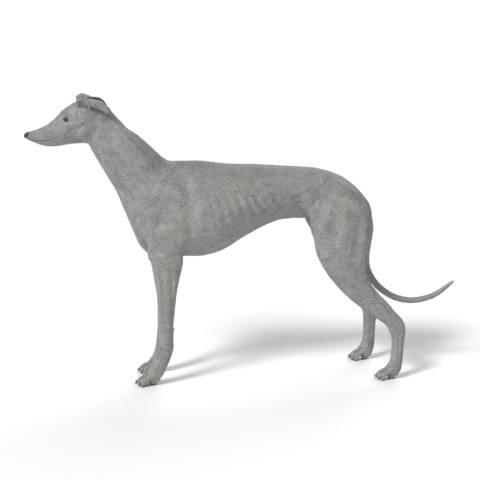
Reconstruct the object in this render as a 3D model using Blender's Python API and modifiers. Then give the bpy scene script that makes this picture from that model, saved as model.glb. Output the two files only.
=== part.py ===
"""A life-size greyhound that stands in profile, its head level, its tail low and its hind legs set back.

The animal faces -X, its left side is towards -Y and the floor is z = 0. The flesh is modelled whole: lofts
give its outline, egg-shaped muscles are laid on them, and all of it is fused, smoothed and thinned. It is
then parted by cuts 0.3 mm wide into the parts that a person would name. Lids, lips, nostrils, ears and
claws are added to those parts. Lengths are in metres.
"""

from dataclasses import dataclass
from math import cos, pi, sin

import bmesh
import bpy
from mathutils import Matrix, Vector
from mathutils.bvhtree import BVHTree

# How the whole is made
GAP = 0.0003
FUSE_VOXEL = 0.0030
FLESH_TRIANGLES = 8000
RING_POINTS = 28
RING_STEP = 0.008
SOFT_ROUNDS = 60

# The head
EYE_RADIUS = 0.0105
EYE_OVER = Vector((-0.5560, 0.0330, 0.8485))
EYE_LOOK = Vector((-0.50, 0.84, 0.16)).normalized()
EYE_PROUD = 0.0028
LID_THICKNESS = 0.0016
LID_OPENING = (0.0094, 0.0055)
MOUTH_LINE = ((-0.690, 0.7845), (-0.672, 0.7850), (-0.655, 0.7820), (-0.630, 0.7815), (-0.603, 0.7865),
              (-0.580, 0.7965))
MOUTH_GAP = 0.0016
LIP_DEPTH = 0.80
NOSTRIL_PLACE = Vector((-0.6805, 0.0060, 0.7985))
NOSTRIL_RADIUS = 0.0022
EAR_THICKNESS = 0.0044
EAR_TIP_SHARE = 0.50

# Where the feet stand: the middle of each foot's print, and the sizes of the toes
FORE_STANCE = 0.060
HIND_STANCE = 0.102
FORE_PRINT_X = {"left": -0.3215, "right": -0.3055}
HIND_PRINT_X = {"left": 0.4405, "right": 0.3965}
TOE_SPREAD = ((-0.0180, 0.0105), (-0.0064, 0.0), (0.0064, 0.0), (0.0180, 0.0105))
TOE_RADIUS = 0.0078
CLAW_LENGTH = 0.0190
CLAW_RADIUS = 0.0028
CLAW_RINGS = 4
CLAW_SIDES = 6

SIDES = {"left": -1.0, "right": 1.0}

COAT = ("coat", (0.285, 0.285, 0.275, 1.0), 0.62)
NOSE_LEATHER = ("nose_leather", (0.030, 0.031, 0.033, 1.0), 0.38)
EYE_GLOSS = ("eye", (0.045, 0.024, 0.010, 1.0), 0.08)


@dataclass
class Section:
    """One slice of a loft, from its fore or upper edge to its hind or lower edge in the side view."""

    fore: tuple
    hind: tuple
    half_width: float
    y: float = 0.0
    widest: float = 0.5
    fore_power: float = 2.0
    hind_power: float = 2.0

    def values(self):
        """The slice as one row of numbers that can be blended with another."""
        return (*self.fore, *self.hind, self.half_width, self.y, self.widest, self.fore_power,
                self.hind_power)


# The trunk from the breast to the buttocks: upper edge, lower edge, half width
TRUNK = (
    Section((-0.383, 0.585), (-0.380, 0.548), 0.022),
    Section((-0.363, 0.640), (-0.359, 0.492), 0.058, widest=0.55),
    Section((-0.324, 0.690), (-0.330, 0.431), 0.079, widest=0.50),
    Section((-0.264, 0.707), (-0.272, 0.4035), 0.090, widest=0.46, hind_power=1.75),
    Section((-0.200, 0.7085), (-0.190, 0.4005), 0.099, widest=0.46, fore_power=1.75, hind_power=1.75),
    Section((-0.140, 0.7070), (-0.135, 0.4010), 0.105, widest=0.46, fore_power=1.85, hind_power=1.8),
    Section((-0.080, 0.6975), (-0.075, 0.4185), 0.106, widest=0.48, hind_power=1.9),
    Section((-0.010, 0.6895), (0.000, 0.4640), 0.098, widest=0.50),
    Section((0.075, 0.6840), (0.080, 0.5020), 0.083, widest=0.52),
    Section((0.150, 0.6800), (0.150, 0.5165), 0.073, widest=0.55, fore_power=2.3),
    Section((0.230, 0.6710), (0.225, 0.5050), 0.076, widest=0.60, fore_power=2.3),
    Section((0.299, 0.6465), (0.280, 0.4750), 0.076, widest=0.62, fore_power=2.1),
    Section((0.349, 0.6115), (0.320, 0.4550), 0.067, widest=0.60),
    Section((0.390, 0.5610), (0.352, 0.4650), 0.050, widest=0.50),
    Section((0.404, 0.5200), (0.387, 0.4900), 0.026),
)

# The neck from inside the skull to inside the chest: nape, throat
NECK = (
    Section((-0.448, 0.896), (-0.493, 0.800), 0.034),
    Section((-0.429, 0.8795), (-0.488, 0.766), 0.041, widest=0.55),
    Section((-0.3825, 0.8265), (-0.4645, 0.715), 0.040, widest=0.52),
    Section((-0.332, 0.790), (-0.435, 0.663), 0.044, widest=0.50),
    Section((-0.288, 0.748), (-0.406, 0.611), 0.055, widest=0.48),
    Section((-0.246, 0.711), (-0.382, 0.551), 0.072, widest=0.45),
    Section((-0.190, 0.690), (-0.340, 0.490), 0.080, widest=0.45),
)

# The head from the nose to the back of the skull: upper edge, lower edge
HEAD = (
    Section((-0.6835, 0.7985), (-0.6815, 0.7895), 0.0065),
    Section((-0.6790, 0.8045), (-0.6745, 0.7845), 0.0125, widest=0.55),
    Section((-0.6620, 0.8105), (-0.6570, 0.7765), 0.0150, widest=0.50),
    Section((-0.6400, 0.8175), (-0.6340, 0.7665), 0.0180, widest=0.48, fore_power=2.2),
    Section((-0.6150, 0.8285), (-0.6070, 0.7605), 0.0215, widest=0.48, fore_power=2.2),
    Section((-0.5920, 0.8455), (-0.5800, 0.7615), 0.0260, widest=0.50, fore_power=2.1),
    Section((-0.5720, 0.8660), (-0.5560, 0.7650), 0.0320, widest=0.55),
    Section((-0.5500, 0.8835), (-0.5300, 0.7675), 0.0400, widest=0.60, hind_power=1.7),
    Section((-0.5220, 0.8985), (-0.5060, 0.7680), 0.0460, widest=0.62, hind_power=1.7),
    Section((-0.4900, 0.9060), (-0.4830, 0.7670), 0.0460, widest=0.62, hind_power=1.7),
    Section((-0.4580, 0.9010), (-0.4650, 0.7750), 0.0410, widest=0.58),
    Section((-0.4350, 0.8830), (-0.4480, 0.8000), 0.0300, widest=0.55),
)

# Each foreleg from inside the shoulder to the pastern: fore edge, hind edge. The left foot stands ahead.
FORELEG = {
    "left": (
        Section((-0.312, 0.548), (-0.205, 0.548), 0.011, y=0.068),
        Section((-0.322, 0.505), (-0.198, 0.505), 0.021, y=0.073),
        Section((-0.320, 0.462), (-0.200, 0.462), 0.0265, y=0.075),
        Section((-0.314, 0.420), (-0.205, 0.425), 0.028, y=0.0755),
        Section((-0.307, 0.388), (-0.205, 0.400), 0.028, y=0.075),
        Section((-0.300, 0.348), (-0.217, 0.350), 0.026, y=0.074),
        Section((-0.293, 0.308), (-0.226, 0.305), 0.0235, y=0.071),
        Section((-0.289, 0.265), (-0.231, 0.262), 0.0210, y=0.068),
        Section((-0.288, 0.225), (-0.235, 0.222), 0.0190, y=0.066),
        Section((-0.289, 0.185), (-0.239, 0.183), 0.0188, y=0.064),
        Section((-0.291, 0.150), (-0.238, 0.148), 0.0210, y=0.063),
        Section((-0.295, 0.120), (-0.238, 0.117), 0.0198, y=0.062),
        Section((-0.301, 0.090), (-0.248, 0.084), 0.0185, y=0.061),
        Section((-0.312, 0.062), (-0.264, 0.048), 0.0190, y=0.060),
        Section((-0.323, 0.045), (-0.276, 0.026), 0.0195, y=0.060),
        Section((-0.336, 0.030), (-0.296, 0.012), 0.0130, y=0.060),
    ),
    "right": (
        Section((-0.312, 0.548), (-0.205, 0.548), 0.011, y=0.068),
        Section((-0.320, 0.505), (-0.196, 0.505), 0.021, y=0.073),
        Section((-0.317, 0.462), (-0.198, 0.462), 0.0265, y=0.075),
        Section((-0.310, 0.420), (-0.203, 0.425), 0.028, y=0.0755),
        Section((-0.302, 0.388), (-0.203, 0.400), 0.028, y=0.075),
        Section((-0.293, 0.348), (-0.212, 0.350), 0.026, y=0.074),
        Section((-0.286, 0.308), (-0.219, 0.305), 0.0235, y=0.071),
        Section((-0.281, 0.265), (-0.224, 0.262), 0.0210, y=0.068),
        Section((-0.279, 0.225), (-0.227, 0.222), 0.0190, y=0.066),
        Section((-0.279, 0.185), (-0.229, 0.183), 0.0188, y=0.064),
        Section((-0.280, 0.150), (-0.227, 0.148), 0.0210, y=0.063),
        Section((-0.283, 0.120), (-0.226, 0.117), 0.0198, y=0.062),
        Section((-0.287, 0.090), (-0.234, 0.084), 0.0185, y=0.061),
        Section((-0.296, 0.062), (-0.248, 0.048), 0.0190, y=0.060),
        Section((-0.307, 0.045), (-0.260, 0.026), 0.0195, y=0.060),
        Section((-0.320, 0.030), (-0.280, 0.012), 0.0130, y=0.060),
    ),
}

# Each hind leg from inside the rump by the stifle and the hock to the foot: fore edge, hind edge
HIND_LEG = {
    "left": (
        Section((0.235, 0.630), (0.345, 0.590), 0.022, y=0.048),
        Section((0.196, 0.560), (0.386, 0.540), 0.040, y=0.056),
        Section((0.190, 0.510), (0.394, 0.487), 0.044, y=0.062),
        Section((0.201, 0.460), (0.388, 0.432), 0.042, y=0.072),
        Section((0.208, 0.416), (0.378, 0.385), 0.037, y=0.081),
        Section((0.229, 0.372), (0.372, 0.350), 0.034, y=0.088),
        Section((0.258, 0.330), (0.384, 0.318), 0.030, y=0.091),
        Section((0.302, 0.280), (0.411, 0.282), 0.027, y=0.093),
        Section((0.352, 0.237), (0.438, 0.254), 0.024, y=0.095),
        Section((0.398, 0.203), (0.464, 0.222), 0.020, y=0.098),
        Section((0.431, 0.179), (0.489, 0.194), 0.0180, y=0.099),
        Section((0.449, 0.148), (0.4985, 0.164), 0.0190, y=0.100),
        Section((0.4530, 0.120), (0.4955, 0.122), 0.0165, y=0.101),
        Section((0.4520, 0.085), (0.4930, 0.083), 0.0160, y=0.102),
        Section((0.4490, 0.062), (0.4900, 0.046), 0.0175, y=0.102),
        Section((0.4400, 0.047), (0.4840, 0.024), 0.0190, y=0.102),
        Section((0.4260, 0.031), (0.4660, 0.012), 0.0130, y=0.102),
    ),
    "right": (
        Section((0.235, 0.630), (0.345, 0.590), 0.022, y=0.048),
        Section((0.200, 0.560), (0.386, 0.540), 0.040, y=0.056),
        Section((0.192, 0.510), (0.394, 0.487), 0.044, y=0.062),
        Section((0.212, 0.460), (0.388, 0.432), 0.042, y=0.072),
        Section((0.236, 0.415), (0.376, 0.385), 0.037, y=0.081),
        Section((0.257, 0.370), (0.366, 0.350), 0.034, y=0.088),
        Section((0.280, 0.320), (0.377, 0.312), 0.030, y=0.091),
        Section((0.308, 0.276), (0.398, 0.275), 0.027, y=0.093),
        Section((0.340, 0.240), (0.419, 0.245), 0.024, y=0.096),
        Section((0.368, 0.213), (0.434, 0.216), 0.020, y=0.099),
        Section((0.393, 0.190), (0.4450, 0.196), 0.0180, y=0.100),
        Section((0.403, 0.155), (0.4520, 0.165), 0.0190, y=0.101),
        Section((0.4050, 0.122), (0.4480, 0.122), 0.0165, y=0.102),
        Section((0.4040, 0.085), (0.4465, 0.083), 0.0160, y=0.102),
        Section((0.4010, 0.062), (0.4440, 0.046), 0.0175, y=0.102),
        Section((0.3930, 0.047), (0.4380, 0.024), 0.0190, y=0.102),
        Section((0.3790, 0.031), (0.4200, 0.012), 0.0130, y=0.102),
    ),
}

# The tail's middle line from inside the rump to the tip, and its radius at each point
TAIL = (
    ((0.345, 0.585), 0.0150),
    ((0.372, 0.556), 0.0150),
    ((0.388, 0.515), 0.0145),
    ((0.3945, 0.470), 0.0138),
    ((0.3905, 0.425), 0.0132),
    ((0.3860, 0.380), 0.0125),
    ((0.3905, 0.340), 0.0118),
    ((0.4110, 0.300), 0.0110),
    ((0.4430, 0.266), 0.0103),
    ((0.4850, 0.240), 0.0098),
    ((0.5350, 0.2275), 0.0094),
    ((0.5850, 0.2320), 0.0090),
    ((0.6250, 0.2470), 0.0083),
    ((0.6560, 0.2690), 0.0062),
    ((0.6780, 0.2860), 0.0034),
)
TAIL_CUTS = (0.400, 0.535)
TAIL_SIDES = 12
TAIL_STEPS = 2


@dataclass
class Muscle:
    """An egg shape laid on the surface over two points in the flesh, standing proud of it towards facing."""

    start: tuple
    end: tuple
    breadth: float
    proud: float
    facing: tuple = (0.0, 1.0, 0.0)


UP_AND_OUT = (0.0, 0.55, 0.84)
FORWARD = (-0.80, 0.60, 0.0)

# Muscles and bones that swell the surface, each given on the right side, where y is positive
MUSCLES = (
    # shoulder blade, triceps and upper arm
    Muscle((-0.215, 0.0, 0.675), (-0.322, 0.0, 0.545), 0.036, 0.010),
    Muscle((-0.190, 0.0, 0.600), (-0.222, 0.0, 0.460), 0.046, 0.009),
    Muscle((-0.336, 0.0, 0.535), (-0.270, 0.0, 0.460), 0.032, 0.006),
    # breast beside the keel
    Muscle((-0.335, 0.018, 0.570), (-0.305, 0.026, 0.465), 0.034, 0.007, FORWARD),
    # forearm
    Muscle((-0.282, 0.0, 0.395), (-0.266, 0.0, 0.270), 0.015, 0.004),
    Muscle((-0.236, 0.0, 0.390), (-0.246, 0.0, 0.280), 0.013, 0.003),
    # back and loin beside the spine, hip bone, rump, thigh
    Muscle((-0.150, 0.026, 0.665), (0.220, 0.026, 0.650), 0.028, 0.004, UP_AND_OUT),
    Muscle((0.228, 0.040, 0.635), (0.250, 0.042, 0.628), 0.016, 0.005, UP_AND_OUT),
    Muscle((0.250, 0.0, 0.630), (0.345, 0.0, 0.565), 0.036, 0.008),
    Muscle((0.335, 0.0, 0.560), (0.352, 0.0, 0.430), 0.034, 0.008),
    Muscle((0.242, 0.0, 0.560), (0.240, 0.0, 0.430), 0.030, 0.007),
    Muscle((0.295, 0.0, 0.540), (0.285, 0.0, 0.400), 0.030, 0.007),
    # neck
    Muscle((-0.440, 0.0, 0.845), (-0.270, 0.0, 0.650), 0.030, 0.007),
    Muscle((-0.455, 0.0, 0.770), (-0.375, 0.0, 0.610), 0.020, 0.005),
)

# Muscles and bones of the head, on the right side
HEAD_MUSCLES = (
    Muscle((-0.518, 0.0, 0.800), (-0.488, 0.0, 0.822), 0.026, 0.006),
    Muscle((-0.560, 0.0, 0.828), (-0.505, 0.0, 0.849), 0.0075, 0.005),
    Muscle((-0.570, 0.0, 0.860), (-0.542, 0.0, 0.868), 0.0080, 0.004),
    Muscle((-0.525, 0.010, 0.875), (-0.475, 0.012, 0.880), 0.020, 0.003, UP_AND_OUT),
    Muscle((-0.650, 0.0, 0.792), (-0.600, 0.0, 0.795), 0.0110, 0.003),
)


def clear_scene():
    """Removes whatever the file opened with."""
    for old in list(bpy.data.objects):
        bpy.data.objects.remove(old)


def collection_named(name, drawn=True):
    """A new collection in the scene, for parts or for cutters."""
    made = bpy.data.collections.new(name)
    bpy.context.scene.collection.children.link(made)
    made.hide_render = not drawn
    return made


def finish(spec):
    """The Principled material of one finish, from its name, colour and roughness."""
    name, colour, roughness = spec
    if name in bpy.data.materials:
        return bpy.data.materials[name]
    made = bpy.data.materials.new(name)
    made.use_nodes = True
    shader = made.node_tree.nodes["Principled BSDF"]
    shader.inputs["Base Color"].default_value = colour
    shader.inputs["Roughness"].default_value = roughness
    made.diffuse_color = colour
    return made


def object_from(name, mesh, where):
    """A new object of this mesh in the collection named."""
    made = bpy.data.objects.new(name, mesh)
    where.objects.link(made)
    return made


def object_from_bmesh(name, shape, where):
    """A new object whose mesh is this bmesh, which is then freed."""
    mesh = bpy.data.meshes.new(name)
    bmesh.ops.recalc_face_normals(shape, faces=shape.faces)
    shape.to_mesh(mesh)
    shape.free()
    return object_from(name, mesh, where)


def settle(obj):
    """Applies the object's modifiers to its mesh."""
    bpy.context.view_layer.update()
    whole = bpy.data.meshes.new_from_object(obj.evaluated_get(bpy.context.evaluated_depsgraph_get()))
    obj.modifiers.clear()
    obj.data = whole
    return obj


def blended(rows, place):
    """The row at this place, counted in rows, on a smooth curve through them all."""
    first = min(int(place), len(rows) - 2)
    share = place - first
    here, there = rows[first], rows[first + 1]
    before = rows[max(first - 1, 0)]
    after = rows[min(first + 2, len(rows) - 1)]
    square, cube = share * share, share * share * share
    return tuple(
        0.5 * (2 * b + (c - a) * share
               + (2 * a - 5 * b + 4 * c - d) * square
               + (3 * b - a - 3 * c + d) * cube)
        for a, b, c, d in zip(before, here, there, after)
    )


def ring_of(row, side, points):
    """The outline of one slice, as points round it."""
    fore_x, fore_z, hind_x, hind_z, half_width, y, widest, fore_power, hind_power = row
    fore = Vector((fore_x, 0.0, fore_z))
    hind = Vector((hind_x, 0.0, hind_z))
    middle = hind.lerp(fore, widest) + Vector((0.0, side * y, 0.0))
    ring = []
    for index in range(points):
        turn = 2 * pi * index / points
        along, across = cos(turn), sin(turn)
        power = fore_power if along > 0 else hind_power
        edge = fore if along > 0 else hind
        reach = edge - hind.lerp(fore, widest)
        across = half_width * (abs(across) ** (2 / power)) * (1 if across > 0 else -1)
        ring.append(middle + reach * abs(along) ** (2 / power) + Vector((0.0, across, 0.0)))
    return ring


def skin_rings(shape, rings):
    """Closed faces between successive rings, with a fan on each end."""
    loops = [[shape.verts.new(point) for point in ring] for ring in rings]
    count = len(loops[0])
    for here, there in zip(loops, loops[1:]):
        for index in range(count):
            after = (index + 1) % count
            shape.faces.new((here[index], here[after], there[after], there[index]))
    for loop in (loops[0][::-1], loops[-1]):
        hub = shape.verts.new(sum((vert.co for vert in loop), Vector()) / count)
        for index in range(count):
            shape.faces.new((loop[index], loop[(index + 1) % count], hub))


def loft(shape, sections, side=1.0, points=RING_POINTS):
    """Adds a closed smooth body through the sections."""
    rows = [section.values() for section in sections]
    rings = []
    for index in range(len(rows) - 1):
        span = (Vector(rows[index][:4]) - Vector(rows[index + 1][:4])).length
        steps = max(1, round(span / RING_STEP))
        rings += [ring_of(blended(rows, index + step / steps), side, points) for step in range(steps)]
    rings.append(ring_of(rows[-1], side, points))
    skin_rings(shape, rings)


def egg(shape, start, end, breadth, rise, facing, segments=18):
    """Adds an egg shape from start to end, flattened so that it rises along facing."""
    start, end, facing = Vector(start), Vector(end), Vector(facing)
    along = (end - start).normalized()
    out = (facing - along * facing.dot(along)).normalized()
    across = out.cross(along)
    length = (end - start).length / 2 + min(breadth, rise) * 0.5
    turn = Matrix((along, across, out)).transposed().to_4x4()
    size = Matrix.Diagonal((length, breadth, rise, 1.0))
    place = Matrix.Translation((start + end) / 2)
    bmesh.ops.create_uvsphere(shape, u_segments=segments, v_segments=segments // 2 + 1, radius=1.0,
                              matrix=place @ turn @ size @ Matrix.Rotation(pi / 2, 4, "Y"))


def muscles(shape, tree, group, side):
    """Lays one side's muscles on the surface that the tree holds."""
    for muscle in group:
        facing = Vector((muscle.facing[0], side * muscle.facing[1], muscle.facing[2])).normalized()
        rise = muscle.breadth * 0.8
        ends = []
        for point in (muscle.start, muscle.end):
            outside = Vector((point[0], side * point[1], point[2])) + facing * 1.5
            surface = tree.ray_cast(outside, -facing)[0]
            ends.append(surface + facing * (muscle.proud - rise))
        egg(shape, *ends, muscle.breadth, rise, facing)


def toe_frames(print_x, stance, side, narrow):
    """For each toe of a foot: its root, its knuckle and its tip."""
    for spread, back in TOE_SPREAD:
        y = side * stance + spread * narrow
        root = Vector((print_x + 0.024, side * stance + spread * narrow * 0.62, 0.0310))
        knuckle = Vector((print_x - 0.0165 + back, y, 0.0262 - back * 0.20))
        tip = Vector((print_x - 0.0310 + back * 0.9, y + spread * 0.16, 0.0125))
        yield root, knuckle, tip


def foot(shape, print_x, stance, side, narrow=1.0):
    """Adds a foot: four arched toes, their pads and the pad behind them."""
    radius = TOE_RADIUS * narrow
    for root, knuckle, tip in toe_frames(print_x, stance, side, narrow):
        egg(shape, root, knuckle, radius, radius * 1.20, (0, 0, 1), 12)
        egg(shape, knuckle + Vector((0.003, 0, 0.0005)), tip, radius * 0.98, radius * 1.08, (0, 0, 1), 12)
        egg(shape, tip + Vector((0.008, 0, -0.0070)), tip + Vector((-0.001, 0, -0.0068)), radius * 0.84,
            0.0066, (0, 0, 1), 12)
    middle = Vector((print_x + 0.016, side * stance, 0.0056))
    egg(shape, middle + Vector((0, -0.0085, 0)), middle + Vector((0, 0.0085, 0)), 0.0135, 0.0075,
        (0, 0, 1), 14)
    egg(shape, middle + Vector((-0.010, 0, 0.014)), middle + Vector((0.018, 0, 0.016)), 0.0185 * narrow,
        0.0150, (0, 0, 1), 14)


def eye_centre(tree, side):
    """The middle of one eyeball, set so deep that its lids stand just proud of the face."""
    look = Vector((EYE_LOOK.x, side * EYE_LOOK.y, EYE_LOOK.z))
    over = Vector((EYE_OVER.x, side * EYE_OVER.y, EYE_OVER.z))
    surface = tree.ray_cast(over + look * 0.2, -look)[0]
    return surface - look * (EYE_RADIUS + LID_THICKNESS - EYE_PROUD)


def whole_flesh(work):
    """The whole animal without ears, eyes and tail, fused, smoothed and thinned, and its eyes' middles."""
    shape = bmesh.new()
    for sections in (TRUNK, NECK, HEAD):
        loft(shape, sections)
    for name, side in SIDES.items():
        loft(shape, FORELEG[name], side)
        loft(shape, HIND_LEG[name], side)
    tree = BVHTree.FromBMesh(shape)
    eyes = {}
    for name, side in SIDES.items():
        muscles(shape, tree, MUSCLES + HEAD_MUSCLES, side)
        foot(shape, FORE_PRINT_X[name], FORE_STANCE, side)
        foot(shape, HIND_PRINT_X[name], HIND_STANCE, side, narrow=0.96)
        dewclaw = Vector((FORE_PRINT_X[name] + 0.046, side * (FORE_STANCE - 0.0165), 0.092))
        egg(shape, dewclaw, dewclaw + Vector((-0.006, 0, -0.014)), 0.0055, 0.0050, (0, -side, 0), 12)
        eyes[name] = eye_centre(tree, side)
    flesh = object_from_bmesh("flesh", shape, work)
    fuse = flesh.modifiers.new("fuse", "REMESH")
    fuse.mode = "VOXEL"
    fuse.voxel_size = FUSE_VOXEL
    settle(flesh)
    smooth(flesh)
    thin(flesh)
    return flesh, eyes


def softness(place):
    """How far the smoothing may blend the surface here: most on the trunk, least on face and feet."""
    if place.x < -0.470 and place.z > 0.740:
        return 0.06 + 0.24 * max(0.0, min(1.0, (place.x + 0.600) / 0.110))
    rising = max(0.0, min(1.0, (place.z - 0.040) / 0.060))
    higher = max(0.0, min(1.0, (place.z - 0.340) / 0.080))
    return 0.07 + 0.10 * rising + 0.83 * higher


def smooth(flesh):
    """Blends the forms into each other."""
    group = flesh.vertex_groups.new(name="soft")
    for vert in flesh.data.vertices:
        group.add([vert.index], softness(vert.co), "REPLACE")
    soften = flesh.modifiers.new("soften", "SMOOTH")
    soften.factor = 0.5
    soften.iterations = SOFT_ROUNDS
    soften.vertex_group = "soft"
    settle(flesh)


def thin(flesh):
    """Leaves triangles where the form needs them."""
    fewer = flesh.modifiers.new("fewer", "DECIMATE")
    fewer.ratio = FLESH_TRIANGLES / (2 * len(flesh.data.polygons))
    fewer.use_collapse_triangulate = True
    settle(flesh)


def joined(obj, tool, operation, solver="MANIFOLD"):
    """Applies one Boolean of the tool to the object."""
    step = obj.modifiers.new(operation, "BOOLEAN")
    step.operation = operation
    step.object = tool
    step.solver = solver
    return settle(obj)


def connected(faces):
    """The faces sorted into closed shells, smallest first."""
    left = set(faces)
    shells = []
    while left:
        found = [left.pop()]
        for face in found:
            near = {other for edge in face.edges for other in edge.link_faces} & left
            left -= near
            found += near
        shells.append(found)
    return sorted(shells, key=len)


def largest_body(obj):
    """Keeps only the object's largest closed surface."""
    shape = bmesh.new()
    shape.from_mesh(obj.data)
    loose = {vert for shell in connected(shape.faces)[:-1] for face in shell for vert in face.verts}
    bmesh.ops.delete(shape, geom=list(loose), context="VERTS")
    shape.to_mesh(obj.data)
    shape.free()
    return obj


def block(name, low, high, where, tilt=0.0, about=None, axis="Y"):
    """A box between two corners, turned about a point, as a cutter."""
    shape = bmesh.new()
    low, high = Vector(low), Vector(high)
    middle = (low + high) / 2
    about = middle if about is None else Vector(about)
    turn = Matrix.Translation(about) @ Matrix.Rotation(tilt, 4, axis) @ Matrix.Translation(-about)
    size = Matrix.Diagonal((*(high - low), 1.0))
    bmesh.ops.create_cube(shape, size=1.0, matrix=turn @ Matrix.Translation(middle) @ size)
    made = object_from_bmesh(name, shape, where)
    made.display_type = "WIRE"
    made.hide_render = True
    return made


@dataclass
class Region:
    """The space of one part: a box, turned about its first corner. The flesh inside it becomes the part."""

    name: str
    low: tuple
    high: tuple
    tilt: float = 0.0
    about: tuple = None
    axis: str = "Y"


def mirrored(region, name, side):
    """The region on one side of the animal, from the one given on the right side."""
    low, high = list(region.low), list(region.high)
    about = None if region.about is None else list(region.about)
    tilt = region.tilt
    if side < 0:
        low[1], high[1] = -high[1], -low[1]
        about = None if about is None else [about[0], -about[1], about[2]]
        tilt = tilt if region.axis == "Y" else -tilt
    return Region(f"{region.name}_{name}", tuple(low), tuple(high), tilt, about, region.axis)


# Regions in the order in which they are parted off, each from what is left of the flesh
LIMBS = (
    Region("forepaw", (-0.420, 0.0, -0.05), (-0.150, 0.30, 0.1080)),
    Region("forearm", (-0.420, 0.0, 0.05), (-0.150, 0.30, 0.4000), 0.06, (-0.260, 0.0, 0.400)),
    Region("hindpaw", (0.280, 0.0, -0.05), (0.560, 0.30, 0.1350)),
    Region("shank", (0.080, 0.0, 0.05), (0.660, 0.30, 0.3650), -0.38, (0.300, 0.0, 0.365)),
    Region("thigh", (0.065, 0.0, 0.15), (0.560, 0.30, 0.4900), -0.36, (0.165, 0.0, 0.490)),
)
MIDLINE = (
    Region("head", (-0.800, -0.20, 0.62), (-0.4645, 0.20, 1.10), 0.414, (-0.4645, 0.0, 0.8345)),
    Region("neck", (-0.800, -0.30, 0.30), (-0.3270, 0.30, 1.10), 0.748, (-0.3270, 0.0, 0.6600)),
    Region("loins", (0.0850, -0.30, 0.30), (0.600, 0.30, 0.80)),
)
NOSE = Region("nose", (-0.720, -0.05, 0.7885), (-0.6700, 0.05, 0.83), 0.30, (-0.6700, 0.0, 0.7985))


def part_off(flesh, region, work, parts):
    """Moves the flesh inside the region to a part of its own, leaving the gap of a thin cut."""
    box = block("region", region.low, region.high, work, region.tilt, region.about, region.axis)
    part = object_from(region.name, flesh.data.copy(), parts)
    joined(part, box, "INTERSECT")
    grow = Vector((GAP, GAP, GAP))
    wider = block("wider_region", Vector(region.low) - grow, Vector(region.high) + grow, work,
                  region.tilt, region.about, region.axis)
    joined(flesh, wider, "DIFFERENCE")
    bpy.data.objects.remove(box)
    bpy.data.objects.remove(wider)
    largest_body(part)
    largest_body(flesh)
    part.data.materials.clear()
    part.data.materials.append(finish(COAT))
    return part


def tapered(shape, points, radii, sides):
    """Adds a closed tapering tube along points that share one upright plane."""
    across = Vector((0.0, 1.0, 0.0))
    rings = []
    for index, (point, radius) in enumerate(zip(points, radii)):
        ahead = points[min(index + 1, len(points) - 1)] - points[max(index - 1, 0)]
        out = ahead.normalized().cross(across)
        turns = [2 * pi * step / sides for step in range(sides)]
        rings.append([point + across * radius * cos(turn) + out * radius * sin(turn) for turn in turns])
    skin_rings(shape, rings)


def tail_parts(flesh, work, parts):
    """The tail in three lengths, its root cut to the rump."""
    rows = [(*point, radius) for point, radius in TAIL]
    fine = [blended(rows, index / TAIL_STEPS) for index in range(TAIL_STEPS * (len(rows) - 1) + 1)]
    shape = bmesh.new()
    tapered(shape, [Vector((x, 0.0, z)) for x, z, _ in fine], [radius for _, _, radius in fine], TAIL_SIDES)
    tail = object_from_bmesh("tail", shape, work)
    joined(tail, grown(flesh, GAP, work), "DIFFERENCE", "EXACT")
    largest_body(tail)
    half = 0.05
    base = Region("tail_base", (0.300, -half, TAIL_CUTS[0]), (0.460, half, 0.700))
    tip = Region("tail_tip", (TAIL_CUTS[1], -half, 0.100), (0.800, half, 0.380))
    part_off(tail, base, work, parts)
    part_off(tail, tip, work, parts)
    middle = object_from("tail_middle", tail.data.copy(), parts)
    middle.data.materials.append(finish(COAT))


def grown(obj, distance, work):
    """A copy of the object whose surface is moved out by the distance, as a cutter."""
    copy = object_from(f"{obj.name}_grown", obj.data.copy(), work)
    push = copy.modifiers.new("push", "DISPLACE")
    push.strength = distance * 1.6
    push.mid_level = 0.0
    return settle(copy)


def ball(name, centre, radius, where, segments=16):
    """A sphere object."""
    shape = bmesh.new()
    bmesh.ops.create_uvsphere(shape, u_segments=segments, v_segments=segments // 2, radius=radius,
                              matrix=Matrix.Translation(centre))
    return object_from_bmesh(name, shape, where)


def almond(centre, look, where):
    """A prism of the shape of the open eye, as a cutter along the way the eye looks."""
    frame = look.to_track_quat("Z", "Y")
    half_length, half_height = LID_OPENING
    points = 14
    rings = []
    for depth in (0.002, 0.030):
        ring = []
        for index in range(points):
            turn = 2 * pi * index / points
            pinch = abs(sin(turn)) ** 1.25 * (1 if sin(turn) > 0 else -1)
            ring.append(centre + frame @ Vector((half_length * cos(turn), half_height * pinch, depth)))
        rings.append(ring)
    shape = bmesh.new()
    skin_rings(shape, rings)
    return object_from_bmesh("almond", shape, where)


def add_eye(head, name, side, centre, work, parts):
    """Lids round an eye and its socket in the head, and the eyeball as a part."""
    look = Vector((EYE_LOOK.x, side * EYE_LOOK.y, EYE_LOOK.z))
    joined(head, ball("lids", centre, EYE_RADIUS + LID_THICKNESS, work, 20), "UNION")
    joined(head, almond(centre, look, work), "DIFFERENCE")
    joined(head, ball("socket", centre, EYE_RADIUS + GAP, work), "DIFFERENCE")
    eye = ball(f"eye_{name}", centre, EYE_RADIUS, parts)
    eye.data.materials.append(finish(EYE_GLOSS))
    eye.data.shade_smooth()


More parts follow.
